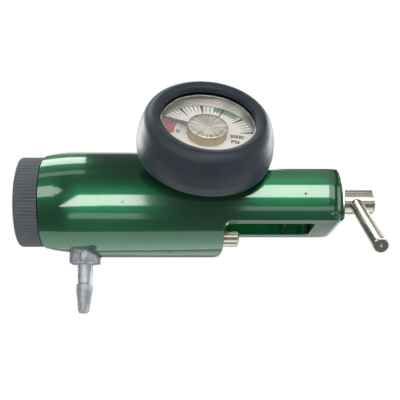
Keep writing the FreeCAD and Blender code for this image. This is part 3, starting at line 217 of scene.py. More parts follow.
def turned(name, profile, place, around):
    """A lathe surface: the profile's points of radius and height carried round the axis."""
    angle = np.arange(around) * 2 * math.pi / around
    return grid_mesh(name, lathe_points(profile[:, :1], profile[:, 1:], angle), place)


print("merge distance in micrometres:", MERGE_DISTANCE * 1e6)

# %% [markdown]
# ## Pieces
#
# The regulator moves: the knob and the screw turn, the bar slides, the needle swings. So each mesh rides on
# the body that carries it. A mesh could be parented by hand, but then a pose would have to be set twice.
# Here one call sets which body carries it, hides the CAD pieces it stands for and gives it its finish.

# %% A piece that rides on a body
def new_piece(name, mesh, body, material, stands_for=()):
    """Link a finished mesh, give it its material, and let it ride on a body."""
    piece = bpy.data.objects.new(name, mesh)
    bpy.context.scene.collection.objects.link(piece)
    mesh.materials.clear()
    mesh.materials.append(material)
    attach(piece, body)
    if stands_for:
        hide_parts(*stands_for)
    return piece


# %% A smooth copy of a CAD piece
CAD_MERGE_DISTANCE = 2e-6
CAD_SHARP_ANGLE = math.radians(28)


def smooth_copy(node):
    """The CAD mesh with its loose triangles merged, so that smooth shading can work."""
    mesh = NODES[node].data.copy()
    work = bmesh.new()
    work.from_mesh(mesh)
    bmesh.ops.remove_doubles(work, verts=work.verts, dist=CAD_MERGE_DISTANCE)
    bmesh.ops.dissolve_degenerate(work, edges=work.edges, dist=CAD_MERGE_DISTANCE / 20)
    work.to_mesh(mesh)
    work.free()
    smooth_by_angle(mesh, CAD_SHARP_ANGLE)
    return mesh


print("slots:", len(set(slot_of.values())))

# %% [markdown]
# ## Materials
#
# A flat colour looks like plastic foil. Image textures would give detail, but they have to be
# drawn, and they blur when the camera comes near. So each finish here is a small formula: it
# starts from one Principled shader and gets a little noise in its colour, its roughness and its
# bump, at the scale of the real grain. The patterns read Object coordinates, so they stay on the
# piece when it moves.

# %% Node helpers for any shader
MIX_SOCKETS = {"RGBA": (6, 7, 2), "VECTOR": (4, 5, 1)}


class Nodes:
    """A node tree and a short way to add and link its nodes."""

    def __init__(self, tree):
        self.tree = tree

    def add(self, kind, **settings):
        """A new node; a setting is one of its properties, or else the value of an input."""
        node = self.tree.nodes.new(kind)
        for key, setting in settings.items():
            if hasattr(node, key):
                setattr(node, key, setting)
            else:
                node.inputs[key.replace("_", " ")].default_value = setting
        return node

    def link(self, source, target):
        """Join an output to an input."""
        self.tree.links.new(source, target)

    def fill(self, sockets, sources):
        """Give each socket a number, a colour or an output."""
        for socket, source in zip(sockets, sources):
            if isinstance(source, bpy.types.NodeSocket):
                self.link(source, socket)
            else:
                socket.default_value = source

    def maths(self, operation, *sources):
        """A math node on numbers or outputs."""
        node = self.add("ShaderNodeMath", operation=operation)
        self.fill(node.inputs, sources)
        return node.outputs[0]

    def vectors(self, operation, *sources):
        """A vector math node; a distance comes out as a number, all else as a vector."""
        node = self.add("ShaderNodeVectorMath", operation=operation)
        self.fill(node.inputs, sources)
        return node.outputs["Value" if operation == "DISTANCE" else "Vector"]

    def step(self, source, low, high, kind="SMOOTHSTEP"):
        """A step from 0 at low to 1 at high."""
        node = self.add("ShaderNodeMapRange", interpolation_type=kind, From_Min=low, From_Max=high)
        self.link(source, node.inputs["Value"])
        return node.outputs["Result"]

    def mix(self, factor, first, second, kind="RGBA"):
        """The first where the factor is 0, the second where it is 1."""
        node = self.add("ShaderNodeMix", data_type=kind)
        low, high, result = MIX_SOCKETS[kind]
        self.fill((node.inputs[0], node.inputs[low], node.inputs[high]), (factor, first, second))
        return node.outputs[result]

    def split(self, source):
        """The three parts of a vector."""
        node = self.add("ShaderNodeSeparateXYZ")
        self.link(source, node.inputs[0])
        return [node.outputs[axis] for axis in "XYZ"]


print("mix sockets:", sorted(MIX_SOCKETS))

# %% [markdown]
# A finish adds what a surface needs: noise for its grain, clouds in its colour, bump, and edges
# that shade as if they were rounded. Edges could be rounded in the mesh, but on a milled body
# with many bores that breaks easily, and the shader does it at any scale.

# %% Node helpers for a finish
class Finish(Nodes):
    """One material around a Principled shader."""

    def __init__(self, name):
        self.material = bpy.data.materials.new(name)
        self.material.use_nodes = True
        super().__init__(self.material.node_tree)
        self.shader = self.tree.nodes["Principled BSDF"]
        self.output = self.tree.nodes["Material Output"]
        self.coordinates = self.add("ShaderNodeTexCoord")

    def set(self, **values):
        """Values of the shader's own inputs."""
        for key, number in values.items():
            self.shader.inputs[key.replace("_", " ")].default_value = number

    def feed(self, **sources):
        """Outputs that go into the shader's inputs."""
        for key, source in sources.items():
            self.link(source, self.shader.inputs[key.replace("_", " ")])

    def noise(self, scale, detail, roughness=0.6, stretch=(1, 1, 1)):
        """Noise in object space; scale is in patterns for each metre."""
        mapping = self.add("ShaderNodeMapping", Scale=stretch)
        self.link(self.coordinates.outputs["Object"], mapping.inputs["Vector"])
        noise = self.add("ShaderNodeTexNoise", Scale=scale, Detail=detail, Roughness=roughness)
        self.link(mapping.outputs["Vector"], noise.inputs["Vector"])
        return noise.outputs["Fac"]

    def ramp(self, source, *stops):
        """Map a number to a colour; stops are (position, colour)."""
        ramp = self.add("ShaderNodeValToRGB")
        for element, (position, colour) in zip(ramp.color_ramp.elements, stops):
            element.position = position
            element.color = (*colour, 1.0)
        self.link(source, ramp.inputs["Fac"])
        return ramp.outputs["Color"]

    def clouded(self, colour, dirt, scale, detail, low, high):
        """The colour, darker by the share of dirt where the noise is under low."""
        dark = tuple(c * (1 - dirt) for c in colour)
        return self.ramp(self.noise(scale, detail), (low, dark), (high, colour))

    def between(self, source, low, high):
        """Map 0 to 1 onto low to high."""
        node = self.add("ShaderNodeMapRange", To_Min=low, To_Max=high)
        self.link(source, node.inputs["Value"])
        return node.outputs["Result"]

    def bump(self, source, strength, distance, normal=None):
        """Bump from a height; distance is in metres."""
        node = self.add("ShaderNodeBump", Strength=strength, Distance=distance)
        self.link(source, node.inputs["Height"])
        if normal is not None:
            self.link(normal, node.inputs["Normal"])
        return node.outputs["Normal"]

    def soft_edges(self, radius):
        """Round the shading at sharp edges, as a deburred edge is; radius is in metres."""
        return self.add("ShaderNodeBevel", samples=4, Radius=radius).outputs["Normal"]


print("finish helpers:", [name for name in vars(Finish) if not name.startswith("_")])

# %% [markdown]
# ### Bare metal
#
# Plated and turned metal is a mirror with a fine grain. Its edge-on sides mirror what is behind it, so
# before a white background they would turn white and vanish, whatever their colour. In the photo they are
# darker than that. Layer Weight tells how edge-on a place is, and rim says how far colour and gloss go down
# there. That darkening is painted shade: the rims are made darker than the metal, in place of the darker
# surroundings they would mirror.

# %% Bare metal
METAL_CLOUDS = 260.0
METAL_EDGE = 0.00012
METAL_BUMP_DEPTH = 0.00004
LOWEST_ROUGHNESS = 0.02
RIM_START = 0.45
RIM_SHADE_SHARE = 0.25


def metal(name, colour, roughness, grain=900.0, spread=0.06, bump=0.04, dirt=0.10, rim=0.0):
    """Bare metal: its colour and roughness vary a little, its edges are softened, and with rim its edge-on
    sides get painted shade.
    """
    finish = Finish(name)
    shade = finish.clouded(colour, dirt, METAL_CLOUDS, detail=3.0, low=0.35, high=0.65)
    # painted shade: edge-on places get a darker colour and less gloss
    if rim:
        facing = finish.add("ShaderNodeLayerWeight", Blend=0.5).outputs["Facing"]
        rim_shade = finish.maths("MULTIPLY", finish.step(facing, RIM_START, 1.0, "LINEAR"), rim)
        shade = finish.mix(rim_shade, shade, (*(c * RIM_SHADE_SHARE for c in colour), 1.0))
        finish.feed(Specular_IOR_Level=finish.maths("SUBTRACT", 1.0, rim_shade))
    fine = finish.noise(grain, detail=5.0)
    gloss = finish.between(fine, max(roughness - spread, LOWEST_ROUGHNESS), roughness + spread)
    normal = finish.bump(fine, bump, METAL_BUMP_DEPTH, finish.soft_edges(METAL_EDGE))
    finish.feed(Base_Color=shade, Roughness=gloss, Normal=normal)
    finish.set(Metallic=1.0)
    return finish.material


NICKEL = metal("polished_nickel", (0.64, 0.61, 0.50), 0.24, bump=0.008, rim=0.7)
SATIN = metal("satin_alloy", (0.60, 0.63, 0.67), 0.54, grain=2600.0, bump=0.3, dirt=0.3, rim=0.85)
STEEL = metal("plain_steel", (0.52, 0.52, 0.52), 0.3)
BRASS = metal("turned_brass", (0.62, 0.45, 0.20), 0.28, dirt=0.05)
BRIGHT = metal("bezel_ring", (0.66, 0.66, 0.62), 0.2)
CASE = metal("gauge_cup", (0.36, 0.35, 0.29), 0.36, bump=0.01)
print("metals:", [finish.name for finish in (NICKEL, SATIN, STEEL, BRASS, BRIGHT, CASE)])

# %% [markdown]
# ### Rubber, plastic and print
#
# The boot is charcoal rubber with a faint sheen, and the knob is a matt moulded plastic that
# catches dust in its ribs. Neither is a mirror: most light goes into the colour and comes out
# dull. One shader serves both, and the inks too, because they differ only in grain and gloss.

# %% Rubber, plastic and print
DULL_CLOUDS = 180.0
DULL_BUMP_DEPTH = 0.00005
BOOT_SHEEN = 0.38


def soft_plain(name, colour, roughness, grain=1500.0, bump=0.15, spread=0.1, dirt=0.25):
    """Rubber or plastic with fine grain and slightly uneven colour."""
    finish = Finish(name)
    shade = finish.clouded(colour, dirt, DULL_CLOUDS, detail=4.0, low=0.3, high=0.7)
    fine = finish.noise(grain, detail=3.0)
    finish.feed(Base_Color=shade, Roughness=finish.between(fine, roughness - spread, roughness + spread),
                Normal=finish.bump(fine, bump, DULL_BUMP_DEPTH))
    return finish.material


RUBBER = soft_plain("boot_rubber", (0.017, 0.026, 0.033), 0.44, spread=0.06)
RUBBER.node_tree.nodes["Principled BSDF"].inputs["Specular IOR Level"].default_value = BOOT_SHEEN
SEAL = soft_plain("seal_rubber", (0.02, 0.02, 0.02), 0.6)
POLYMER = soft_plain("seat_polymer", (0.72, 0.69, 0.6), 0.45)
KNOB_BLACK = soft_plain("knob_plastic", (0.053, 0.066, 0.072), 0.42)
DIAL_WHITE = soft_plain("dial_white", (0.90, 0.89, 0.82), 0.5, bump=0.03, dirt=0.04)
PRINT_BLACK = soft_plain("dial_black", (0.015, 0.015, 0.015), 0.5, bump=0.02)
PRINT_RED = soft_plain("dial_red", (0.70, 0.13, 0.12), 0.5, bump=0.02)
PRINT_GREEN = soft_plain("dial_green", (0.13, 0.36, 0.20), 0.5, bump=0.02)
NEEDLE = soft_plain("needle_paint", (0.03, 0.05, 0.035), 0.4, bump=0.02)
print("finishes so far:", len(bpy.data.materials))

# %% [markdown]
# ### Green anodised aluminium
#
# Anodising grows a clear oxide layer on the aluminium and dyes it. Light passes the dye twice, so
# the metal reflects deep green, and the outer face of the layer adds a white gloss of its own. A
# green plastic would show the gloss alone, and a green metal alone would have no white in its
# lamps. A metallic base with a coat gives both.
#
# The bar has been used, too. Three small specks of dirt sit where the photo shows them. They
# could be small pieces, but dirt has no thickness to speak of. Each is a ball round a point of
# the surface instead: within its radius the green and the coat give way to the dirt's colour.

# %% Specks of dirt
SPECKS = [((25.2, -18.9, -1.2), 0.42), ((-36.8, -18.8, -4.0), 0.3), ((-21.2, -5.8, -19.15), 0.45)]
SPECK_COLOUR = (0.03, 0.035, 0.03, 1.0)


def clean_share(finish):
    """1 on clean metal, 0 on a speck: the product of (distance to its centre > its radius)."""
    clean = 1.0
    for place, radius in SPECKS:
        centre = tuple(c * MM for c in place)
        away = finish.vectors("DISTANCE", finish.coordinates.outputs["Object"], centre)
        clean = finish.maths("MULTIPLY", clean, finish.maths("GREATER_THAN", away, radius * MM))
    return clean


print("specks:", len(SPECKS))

# %% [markdown]
# The knob's end of the bar is a slim cone. The CAD mesh has a crease where it starts, and a lamp's
# band would jump there, while in the photo it runs on and comes to a point. More triangles would
# not help: the crease is sharp in the solid and soft on the real bar. So the shader works out the
# normal of the cone itself, and blends it in between the crease and the rim.

# %% The normal of the tapered end
TAPER_START, TAPER_END = -50.0, -66.0
TAPER_LEAN = math.radians(12)
BAR_RADIUS, BAR_DROP = 19.05, 1.0
FADE_IN = (-44.0, -47.0)
FADE_AT_RIM = (-66.5, -66.3)
FADE_AT_FLAT = (-17.4, -17.1)


def taper_normal(finish, along, out, up):
    """The unit vector away from the bar's axis, less the tangent of the lean times the axis.

    The vector away from the axis is (0, depth, z + drop), where depth is the root of
    (radius squared less (z + drop) squared) with the sign of y.
    """
    above = finish.maths("ADD", up, BAR_DROP * MM)
    radius_squared = (BAR_RADIUS * MM) ** 2
    high = finish.maths("MINIMUM", finish.maths("MULTIPLY", above, above), radius_squared)
    depth = finish.maths("SQRT", finish.maths("SUBTRACT", radius_squared, high))
    away = finish.add("ShaderNodeCombineXYZ")
    finish.link(finish.maths("MULTIPLY", finish.maths("SIGN", out), depth), away.inputs["Y"])
    finish.link(above, away.inputs["Z"])
    lean = finish.step(along, TAPER_START * MM, TAPER_END * MM, "LINEAR")
    tilt = finish.add("ShaderNodeCombineXYZ")
    finish.link(finish.between(lean, 0.0, -math.tan(TAPER_LEAN)), tilt.inputs["X"])
    leaning = finish.vectors("ADD", finish.vectors("NORMALIZE", away.outputs[0]), tilt.outputs[0])
    to_world = finish.add("ShaderNodeVectorTransform", vector_type="NORMAL",
                          convert_from="OBJECT", convert_to="WORLD")
    finish.link(leaning, to_world.inputs[0])
    return to_world.outputs[0]


def taper_share(finish, along, up):
    """1 on the tapered end, 0 elsewhere: the product of the steps in at its three borders."""
    inside = finish.maths("MULTIPLY", finish.step(along, *(x * MM for x in FADE_IN)),
                          finish.step(along, *(x * MM for x in FADE_AT_RIM)))
    return finish.maths("MULTIPLY", inside, finish.step(up, *(z * MM for z in FADE_AT_FLAT)))


print("taper leans by", round(math.tan(TAPER_LEAN), 3))

# %% [markdown]
# The bands in the photo are soft round the bar and sharp at their two ends. A polished mirror
# would be sharp all round, and a matt one soft all round. The base is anisotropic instead: its
# gloss is stretched along a tangent that goes round the bar, which is the surface's normal
# crossed with the bar's axis.

# %% Green anodised body
ANODISED_GREEN = (0.009, 0.132, 0.047)
GREEN_ROUGHNESS = (0.24, 0.28)
OXIDE_GLOSS = 1.86
OXIDE_ROUGHNESS = 0.075
BODY_EDGE = 0.0003
NEARLY_X = (1.0, 0.01, 0.02)
ROUND_THE_BAR = (1.0, 0.03, 0.03)


def anodised():
    """Dyed metal with its gloss stretched round the bar, under a clear coat.

    The tangent is the normal crossed with NEARLY_X, a little off the axis so that it is never
    zero on the end faces. The faint turning lines are noise that is long round the bar.
    """
    finish = Finish("green_anodised")
    clean = clean_share(finish)
    dyed = finish.clouded(ANODISED_GREEN, dirt=0.1, scale=120.0, detail=3.0, low=0.3, high=0.7)
    turning = finish.noise(1400.0, detail=2.0, roughness=0.5, stretch=ROUND_THE_BAR)
    facing = finish.add("ShaderNodeNewGeometry").outputs["Normal"]
    along, out, up = finish.split(finish.coordinates.outputs["Object"])
    normal = finish.mix(taper_share(finish, along, up), finish.soft_edges(BODY_EDGE),
                        taper_normal(finish, along, out, up), "VECTOR")
    finish.feed(Base_Color=finish.mix(clean, SPECK_COLOUR, dyed), Coat_Weight=clean,
                Roughness=finish.between(turning, *GREEN_ROUGHNESS),
                Tangent=finish.vectors("CROSS_PRODUCT", facing, NEARLY_X),
                Normal=finish.bump(turning, strength=0.03, distance=0.00002, normal=normal),
                Coat_Normal=normal)
    finish.set(Metallic=1.0, Anisotropic=1.0, Coat_Roughness=OXIDE_ROUGHNESS, Coat_IOR=OXIDE_GLOSS)
    return finish.material


GREEN = anodised()
print("nodes in the green:", len(GREEN.node_tree.nodes))

# %% [markdown]
# ### The window
#
# The window is clear and thin. Real glass would throw the dial into shadow here, because a path
# tracer finds few paths through it. A denser sampling could find them, but slowly. So shadow rays
# pass straight through, and all other rays meet glass with a faint smear on it.

# %% Clear window
def clear_window():
    """Glass for every ray but a shadow ray, which passes."""
    finish = Finish("clear_window")
    finish.set(Base_Color=(0.97, 0.98, 0.97, 1), IOR=1.45, Transmission_Weight=1.0)
    smear = finish.noise(90.0, detail=2.0)
    finish.feed(Roughness=finish.between(smear, low=0.02, high=0.07))
    path = finish.add("ShaderNodeLightPath")
    clear = finish.add("ShaderNodeBsdfTransparent")
    chosen = finish.add("ShaderNodeMixShader")
    finish.fill(chosen.inputs, (path.outputs["Is Shadow Ray"], finish.shader.outputs[0], clear.outputs[0]))
    finish.link(chosen.outputs[0], finish.output.inputs["Surface"])
    return finish.material


WINDOW = clear_window()
print("finishes:", len(bpy.data.materials))

# %% [markdown]
# ## The body
#
# The body is turned and milled from one bar, and its CAD mesh holds every bore. Modelling it again
# would lose them, so a copy of the CAD mesh is used. Merged into one skin, with its edges kept
# sharp, it shades as machined metal. Weighted normals keep the large flats flat beside the small
# rounds.

# %% Dress the body
FLATS_FIRST = 90
body_mesh = smooth_copy("regulator_body")
body = new_piece("green_body", body_mesh, "regulator", GREEN, ("regulator_body",))
weighted = body.modifiers.new("weighted", "WEIGHTED_NORMAL")
weighted.keep_sharp = True
weighted.weight = FLATS_FIRST
print("body faces", len(body_mesh.polygons))

# %% [markdown]
# ## The knob
#
# The moulded knob has eighty straight ribs round its rim. They could be cut with a repeated
# boolean, which leaves thin faces that shade badly. Instead the radius is a function of the
# angle: a wave that is flat on the ribs and narrow in the gaps. The wave fades out at both ends
# of the rim, so that the faces have plain rounded edges, as the original has.

# %% Knob surface
KNOB = axis_frame((-66.9, 0, 0), (-1, 0, 0))
KNOB_RADIUS = 16.15
KNOB_LENGTH = 8.2
KNOB_RIBS = 80
POINTS_PER_RIB = 12
RIB_DEPTH = 0.3
RIB_INNER_RADIUS = 15.0
GAP_SHAPE = 2.2
SKIRT_START, SKIRT_FADE = -0.2, 0.2
FACE_RIM, FACE_FADE = 0.75, 0.35
BOSS_RADIUS = 11.0
BOSS_LENGTH = 4.05
DISH_RADIUS, DISH_DEPTH = 12.6, 0.6
SOCKET_RADIUS, SOCKET_DEPTH = 3.1, 2.5


def ribbed_knob():
    """Radius = profile radius less rib depth times (1 - wave) to the power GAP_SHAPE.

    The wave is half of (1 + the cosine of the angle times the number of ribs).
    """
    profile = rounded([
        (0, -BOSS_LENGTH), (BOSS_RADIUS, -BOSS_LENGTH), (BOSS_RADIUS, SKIRT_START),
        (KNOB_RADIUS, SKIRT_START), (KNOB_RADIUS, 0.1), (KNOB_RADIUS, KNOB_LENGTH),
        (DISH_RADIUS + 0.6, KNOB_LENGTH), (DISH_RADIUS, KNOB_LENGTH - DISH_DEPTH),
        (SOCKET_RADIUS, KNOB_LENGTH - DISH_DEPTH), (SOCKET_RADIUS, KNOB_LENGTH - SOCKET_DEPTH),
        (0, KNOB_LENGTH - SOCKET_DEPTH),
    ], [0, 0.3, 0.2, 0.15, 0, 1.0, 0.3, 0.4, 0.15, 0.1, 0])
    around = KNOB_RIBS * POINTS_PER_RIB
    angle = np.arange(around) * 2 * math.pi / around
    gap = (1 - (0.5 + 0.5 * np.cos(angle * KNOB_RIBS))) ** GAP_SHAPE
    radius, height = profile[:, :1], profile[:, 1:]
    at_skirt = np.clip((height - SKIRT_START) / SKIRT_FADE, 0, 1)
    at_face = np.clip((KNOB_LENGTH - FACE_RIM - height) / FACE_FADE, 0, 1)
    ribbed = at_skirt * at_face * (radius > RIB_INNER_RADIUS)
    return grid_mesh("flow_knob", lathe_points(radius - RIB_DEPTH * gap * ribbed, height, angle), KNOB)


knob_mesh = ribbed_knob()
new_piece("flow_knob", knob_mesh, "knob", KNOB_BLACK, ("selector_knob",))
print("knob faces", len(knob_mesh.polygons))

# %% [markdown]
# ## Small turned pieces
#
# The barb, the pins and the screw keep their CAD shape, but a CAD mesh has long thin triangles,
# and on a mirror finish they make the lamps wavy. Finer triangles would cost much and help
# little. The true normal of a round face is known, though: it points straight away from the axis,
# so it is written into the mesh's corners.

# %% True normals for round faces
FACES_OUT = 0.94
LEVEL_WITH_AXIS = 0.02


def vectors_of(items, key, count):
    """A vector property of all items as an array with three columns."""
    values = np.empty(count * 3)
    items.foreach_get(key, values)
    return values.reshape(-1, 3)


def true_round(mesh, centre, axis):
    """Corner normal of a round face = the corner's place less its share along the axis, made unit.

    A face is round if it faces away from the axis and lies along it. A centre off the middle
    plane stands for a pair, one axis on each side of the plane.
    """
    axis = np.asarray(axis, float)
    places = vectors_of(mesh.vertices, "co", len(mesh.vertices))
    sides = np.where(places[:, 1:2] < 0, -1, 1)
    places = places - np.asarray(centre, float) * MM * np.hstack([sides ** 0, sides, sides ** 0])
    corners = np.empty(len(mesh.loops), int)
    mesh.loops.foreach_get("vertex_index", corners)
    normals = vectors_of(mesh.corner_normals, "vector", len(mesh.loops))
    sizes = np.empty(len(mesh.polygons), int)
    mesh.polygons.foreach_get("loop_total", sizes)
    flat = np.repeat(vectors_of(mesh.polygons, "normal", len(mesh.polygons)), sizes, axis=0)
    radial = places[corners] - np.outer(places[corners] @ axis, axis)
    radial /= np.maximum(np.linalg.norm(radial, axis=1), 1e-9)[:, None]
    is_round = ((radial * flat).sum(1) > FACES_OUT) & (np.abs(flat @ axis) < LEVEL_WITH_AXIS)
    normals[is_round] = radial[is_round]
    mesh.normals_split_custom_set(normals.tolist())
    return int(is_round.sum())


# %% Small pieces that keep their CAD shape
KEPT_SHAPES = [
    ("outlet_barb", "hose_barb", "regulator", "satin_metal", SATIN),
    ("index_pins", "index_pin_pair", "regulator", "nickel", NICKEL),
    ("clamp_screw", "yoke_screw", "screw", "nickel", NICKEL),
    ("inlet_nipple", "gas_nipple", "regulator", "brass_bright", BRASS),
    ("washer_ring", "yoke_washer", "regulator", "brass_bright", BRASS),
    ("gauge_stem", "brass_stem", "regulator", "brass_bright", BRASS),
    ("knob_screw", "hex_screw", "knob", "steel", STEEL),
    ("relief_cap", "relief_plug", "regulator", "brass_bright", BRASS),
    ("screw_retaining_ring", "retaining_ring", "screw_ring", "steel", STEEL),
]
AXES = {
    "outlet_barb": ((-51.5, 0, 0), (0, 0, 1)),
    "index_pins": ((0, 4.419, -13.6), (1, 0, 0)),
    "clamp_screw": ((0, 0, 0), (1, 0, 0)),
}
for node, name, rides_on, slot, finish in KEPT_SHAPES:
    mesh = smooth_copy(node)
    if node in AXES:
        print(name, "round corners", true_round(mesh, *AXES[node]))
    new_piece(name, mesh, rides_on, finish, (node,))

# %% [markdown]
# ## The sliding bar
#
# The bar slides through a hole in the screw's head, and a low collar at each end keeps it there.
# Its end face still shows the centre mark of the lathe. A copy of the CAD bar would do, but its
# collars stand out more than the photo's, its chamfers are wider and its ends are plain. A lathe
# surface of its own gets these right.

# %% The sliding bar
BAR_SLOPE = math.radians(30)
BAR_PLACE = axis_frame((45.4, 0.0, 0.0), (0.0, -math.cos(BAR_SLOPE), -math.sin(BAR_SLOPE)), (1.0, 0.0, 0.0))
SHAFT_RADIUS, COLLAR_RADIUS = 2.36, 2.5
CHAMFER_RADIUS, MARK_RADIUS = 2.15, 0.5


def bar_surface():
    """A plain bar with a low collar at each end, a small chamfer and a centre mark in the face."""
    profile = rounded([
        (0, -6.1), (MARK_RADIUS, -6.38), (CHAMFER_RADIUS, -6.38), (COLLAR_RADIUS, -6.1),
        (COLLAR_RADIUS, -4.8), (SHAFT_RADIUS, -4.7), (SHAFT_RADIUS, 42.8), (COLLAR_RADIUS, 42.9),
        (COLLAR_RADIUS, 44.15), (CHAMFER_RADIUS, 44.42), (MARK_RADIUS, 44.42), (0, 44.1),
    ], [0, 0.05, 0.06, 0.06, 0.05, 0.05, 0.05, 0.05, 0.06, 0.06, 0.05, 0], 3)
    return turned("sliding_bar", profile, BAR_PLACE, 64)


bar_mesh = bar_surface()
new_piece("sliding_bar", bar_mesh, "bar", NICKEL, ("tee_bar",))
print("bar faces", len(bar_mesh.polygons))

# %% [markdown]
# ## The gauge
#
# The boot is one rubber moulding, thickest at its shoulder, that rolls in over the window's ring.
# It could be sculpted, but a lathe profile with large corner radii keeps it smooth. Rubber never
# sits quite true, and in the photo the far side of its mouth stands higher. So the turned surface
# is sheared: the nearer a point is to the mouth and to the far side, the further it moves out.

# %% Boot
BOOT_FLOOR, BOOT_SKEW_LENGTH = 21.7, 17.0
BOOT_SKEW = 0.05
gauge_up = np.cross(gauge_out, gauge_right)
gauge_up = gauge_up * np.sign(gauge_up[2])


def rubber_boot():
    """A turned sleeve; each point then moves along the axis by skew times its height times how
    far up the dial it lies."""
    profile = rounded([
        (7.4, BOOT_FLOOR), (19.2, BOOT_FLOOR), (22.9, 22.4), (23.4, 27.0), (22.9, 31.5),
        (21.3, 36.9), (18.6, 38.9), (16.2, 38.0), (16.0, 36.1), (17.2, 36.1),
    ], [0, 1.2, 2.4, 6.0, 12.0, 6.5, 3.0, 0.6, 0.3, 0], 8)
    mesh = turned("gauge_cover", profile, GAUGE, 192)
    places = vectors_of(mesh.vertices, "co", len(mesh.vertices))
    local = (places / MM - GAUGE[:3, 3]) @ GAUGE[:3, :3]
    share = np.clip((local[:, 2] - BOOT_FLOOR) / BOOT_SKEW_LENGTH, 0, 1)
    away = local @ (GAUGE[:3, :3].T @ gauge_up)
    places += np.outer(BOOT_SKEW * away * share * MM, gauge_out)
    mesh.vertices.foreach_set("co", places.ravel())
    return mesh


boot_mesh = rubber_boot()
new_piece("gauge_cover", boot_mesh, "regulator", RUBBER, ("gauge_boot",))
for node, name, finish in (("gauge_bezel", "window_ring", BRIGHT), ("gauge_case", "gauge_cup", CASE)):
    new_piece(name, smooth_copy(node), "regulator", finish, (node,))
print("boot faces", len(boot_mesh.polygons))

# %% [markdown]
# ### The dial's print
#
# The scale runs clockwise from empty to full, 28 degrees for each 500 psi. The print could be
# painted with nodes, but thin raised shapes stay crisp at any size and keep their names. A mark
# has the same form at each angle, so one array of corners turned by an array of angles makes
# them all.

# %% Marks on the dial
DIAL_HEIGHT = 29.8
INK_LIFT = 0.02
ZONE_LIFT = 0.01
EMPTY_ANGLE = 180.0
FULL_ANGLE = 12.0
OUTER_MARK = 16.4
ARC_WIDTH = 0.25


def flat_piece(name, corners, faces, finish, lift=INK_LIFT):
    """A flat shape on the dial from corners in the dial's own plane, given in millimetres."""
    level = np.full((len(corners), 1), DIAL_HEIGHT + lift)
    points = np.hstack([corners, level]) @ GAUGE[:3, :3].T + GAUGE[:3, 3]
    mesh = bpy.data.meshes.new(name)
    mesh.from_pydata((points * MM).tolist(), [], faces.tolist())
    new_piece(name, mesh, "regulator", finish)


def ring_of_marks(angles, inner, outer, inner_width, outer_width):
    """Trapezoids that point at the centre: corner = turn by the angle of (radius, half width)."""
    shape = np.array([[inner, -inner_width / 2], [outer, -outer_width / 2],
                      [outer, outer_width / 2], [inner, inner_width / 2]])
    angle = np.radians(angles)[:, None]
    x = shape[:, 0] * np.cos(angle) - shape[:, 1] * np.sin(angle)
    y = shape[:, 0] * np.sin(angle) + shape[:, 1] * np.cos(angle)
    corners = np.stack([x, y], -1).reshape(-1, 2)
    return corners, np.arange(len(corners)).reshape(-1, 4)


def band(start, end, inner, outer, steps=24):
    """A part of a ring between two angles, as a row of four-sided cells."""
    angle = np.radians(np.linspace(start, end, steps + 1))
    rims = [np.stack([r * np.cos(angle), r * np.sin(angle)], -1) for r in (inner, outer)]
    k = np.arange(steps)
    return np.concatenate(rims), np.stack([k, k + 1, k + steps + 2, k + steps + 1], -1)


major = np.linspace(EMPTY_ANGLE, FULL_ANGLE, 7)
minor = np.linspace(EMPTY_ANGLE, FULL_ANGLE, 31)
flat_piece("major_marks", *ring_of_marks(major, 11.6, OUTER_MARK, 0.2, 1.3), PRINT_BLACK)
flat_piece("minor_marks", *ring_of_marks(minor, 12.9, OUTER_MARK, 0.16, 0.34), PRINT_BLACK)
flat_piece("scale_arc", *band(EMPTY_ANGLE, FULL_ANGLE, OUTER_MARK, OUTER_MARK + ARC_WIDTH, 90), PRINT_BLACK)
flat_piece("refill_zone", *band(184, 151, 11.0, 16.7), PRINT_RED, ZONE_LIFT)
flat_piece("full_zone", *band(80, 47, 13.9, 16.7), PRINT_GREEN, ZONE_LIFT)
print("marks:", len(major) + len(minor))

# %% [markdown]
# The numbers are Blender's own text. A text object could stay live, but the export and the poses
# need a mesh, so each word is turned into one and then put in its place on the dial.

# %% Numbers on the dial
STROKE = 0.11


def dial_text(name, words, size, x, y):
    """Printed words as a mesh, centred at a place in the dial's plane."""
    curve = bpy.data.curves.new(name, "FONT")
    curve.body = words
    curve.size = size * MM
    curve.offset = STROKE * MM
    curve.align_x, curve.align_y = "CENTER", "CENTER"
    source = bpy.data.objects.new(name + "_curve", curve)
    mesh = bpy.data.meshes.new_from_object(source)
    bpy.data.objects.remove(source)
    place = GAUGE @ axis_frame((x, y, DIAL_HEIGHT + INK_LIFT), (0, 0, 1), (1, 0, 0))
    place[:3, 3] *= MM
    mesh.transform(Matrix(place.tolist()))
    new_piece(name, mesh, "regulator", PRINT_BLACK)
    return len(mesh.polygons)


print("faces of the numbers:", dial_text("number_0", "0", 2.7, -9.7, 0.3),
      dial_text("number_3000", "3000", 2.4, 10.3, 0.1), dial_text("unit_psi", "PSI", 2.4, 9.7, -2.8))

# %% [markdown]
# ### The hub and the pointer
#
# The brass hub is turned, so its face carries fine rings. A ringed face throws back light in
# bright wedges that meet at its centre. Real rings as geometry would be far too fine to render.
# A shader gets the same from stretched gloss: the tangent follows the rings, by way of the grid's own UV
# map. On top of that, its colour has pale and dark wedges round the centre, which are painted highlights.
# The sides stay plain brass.

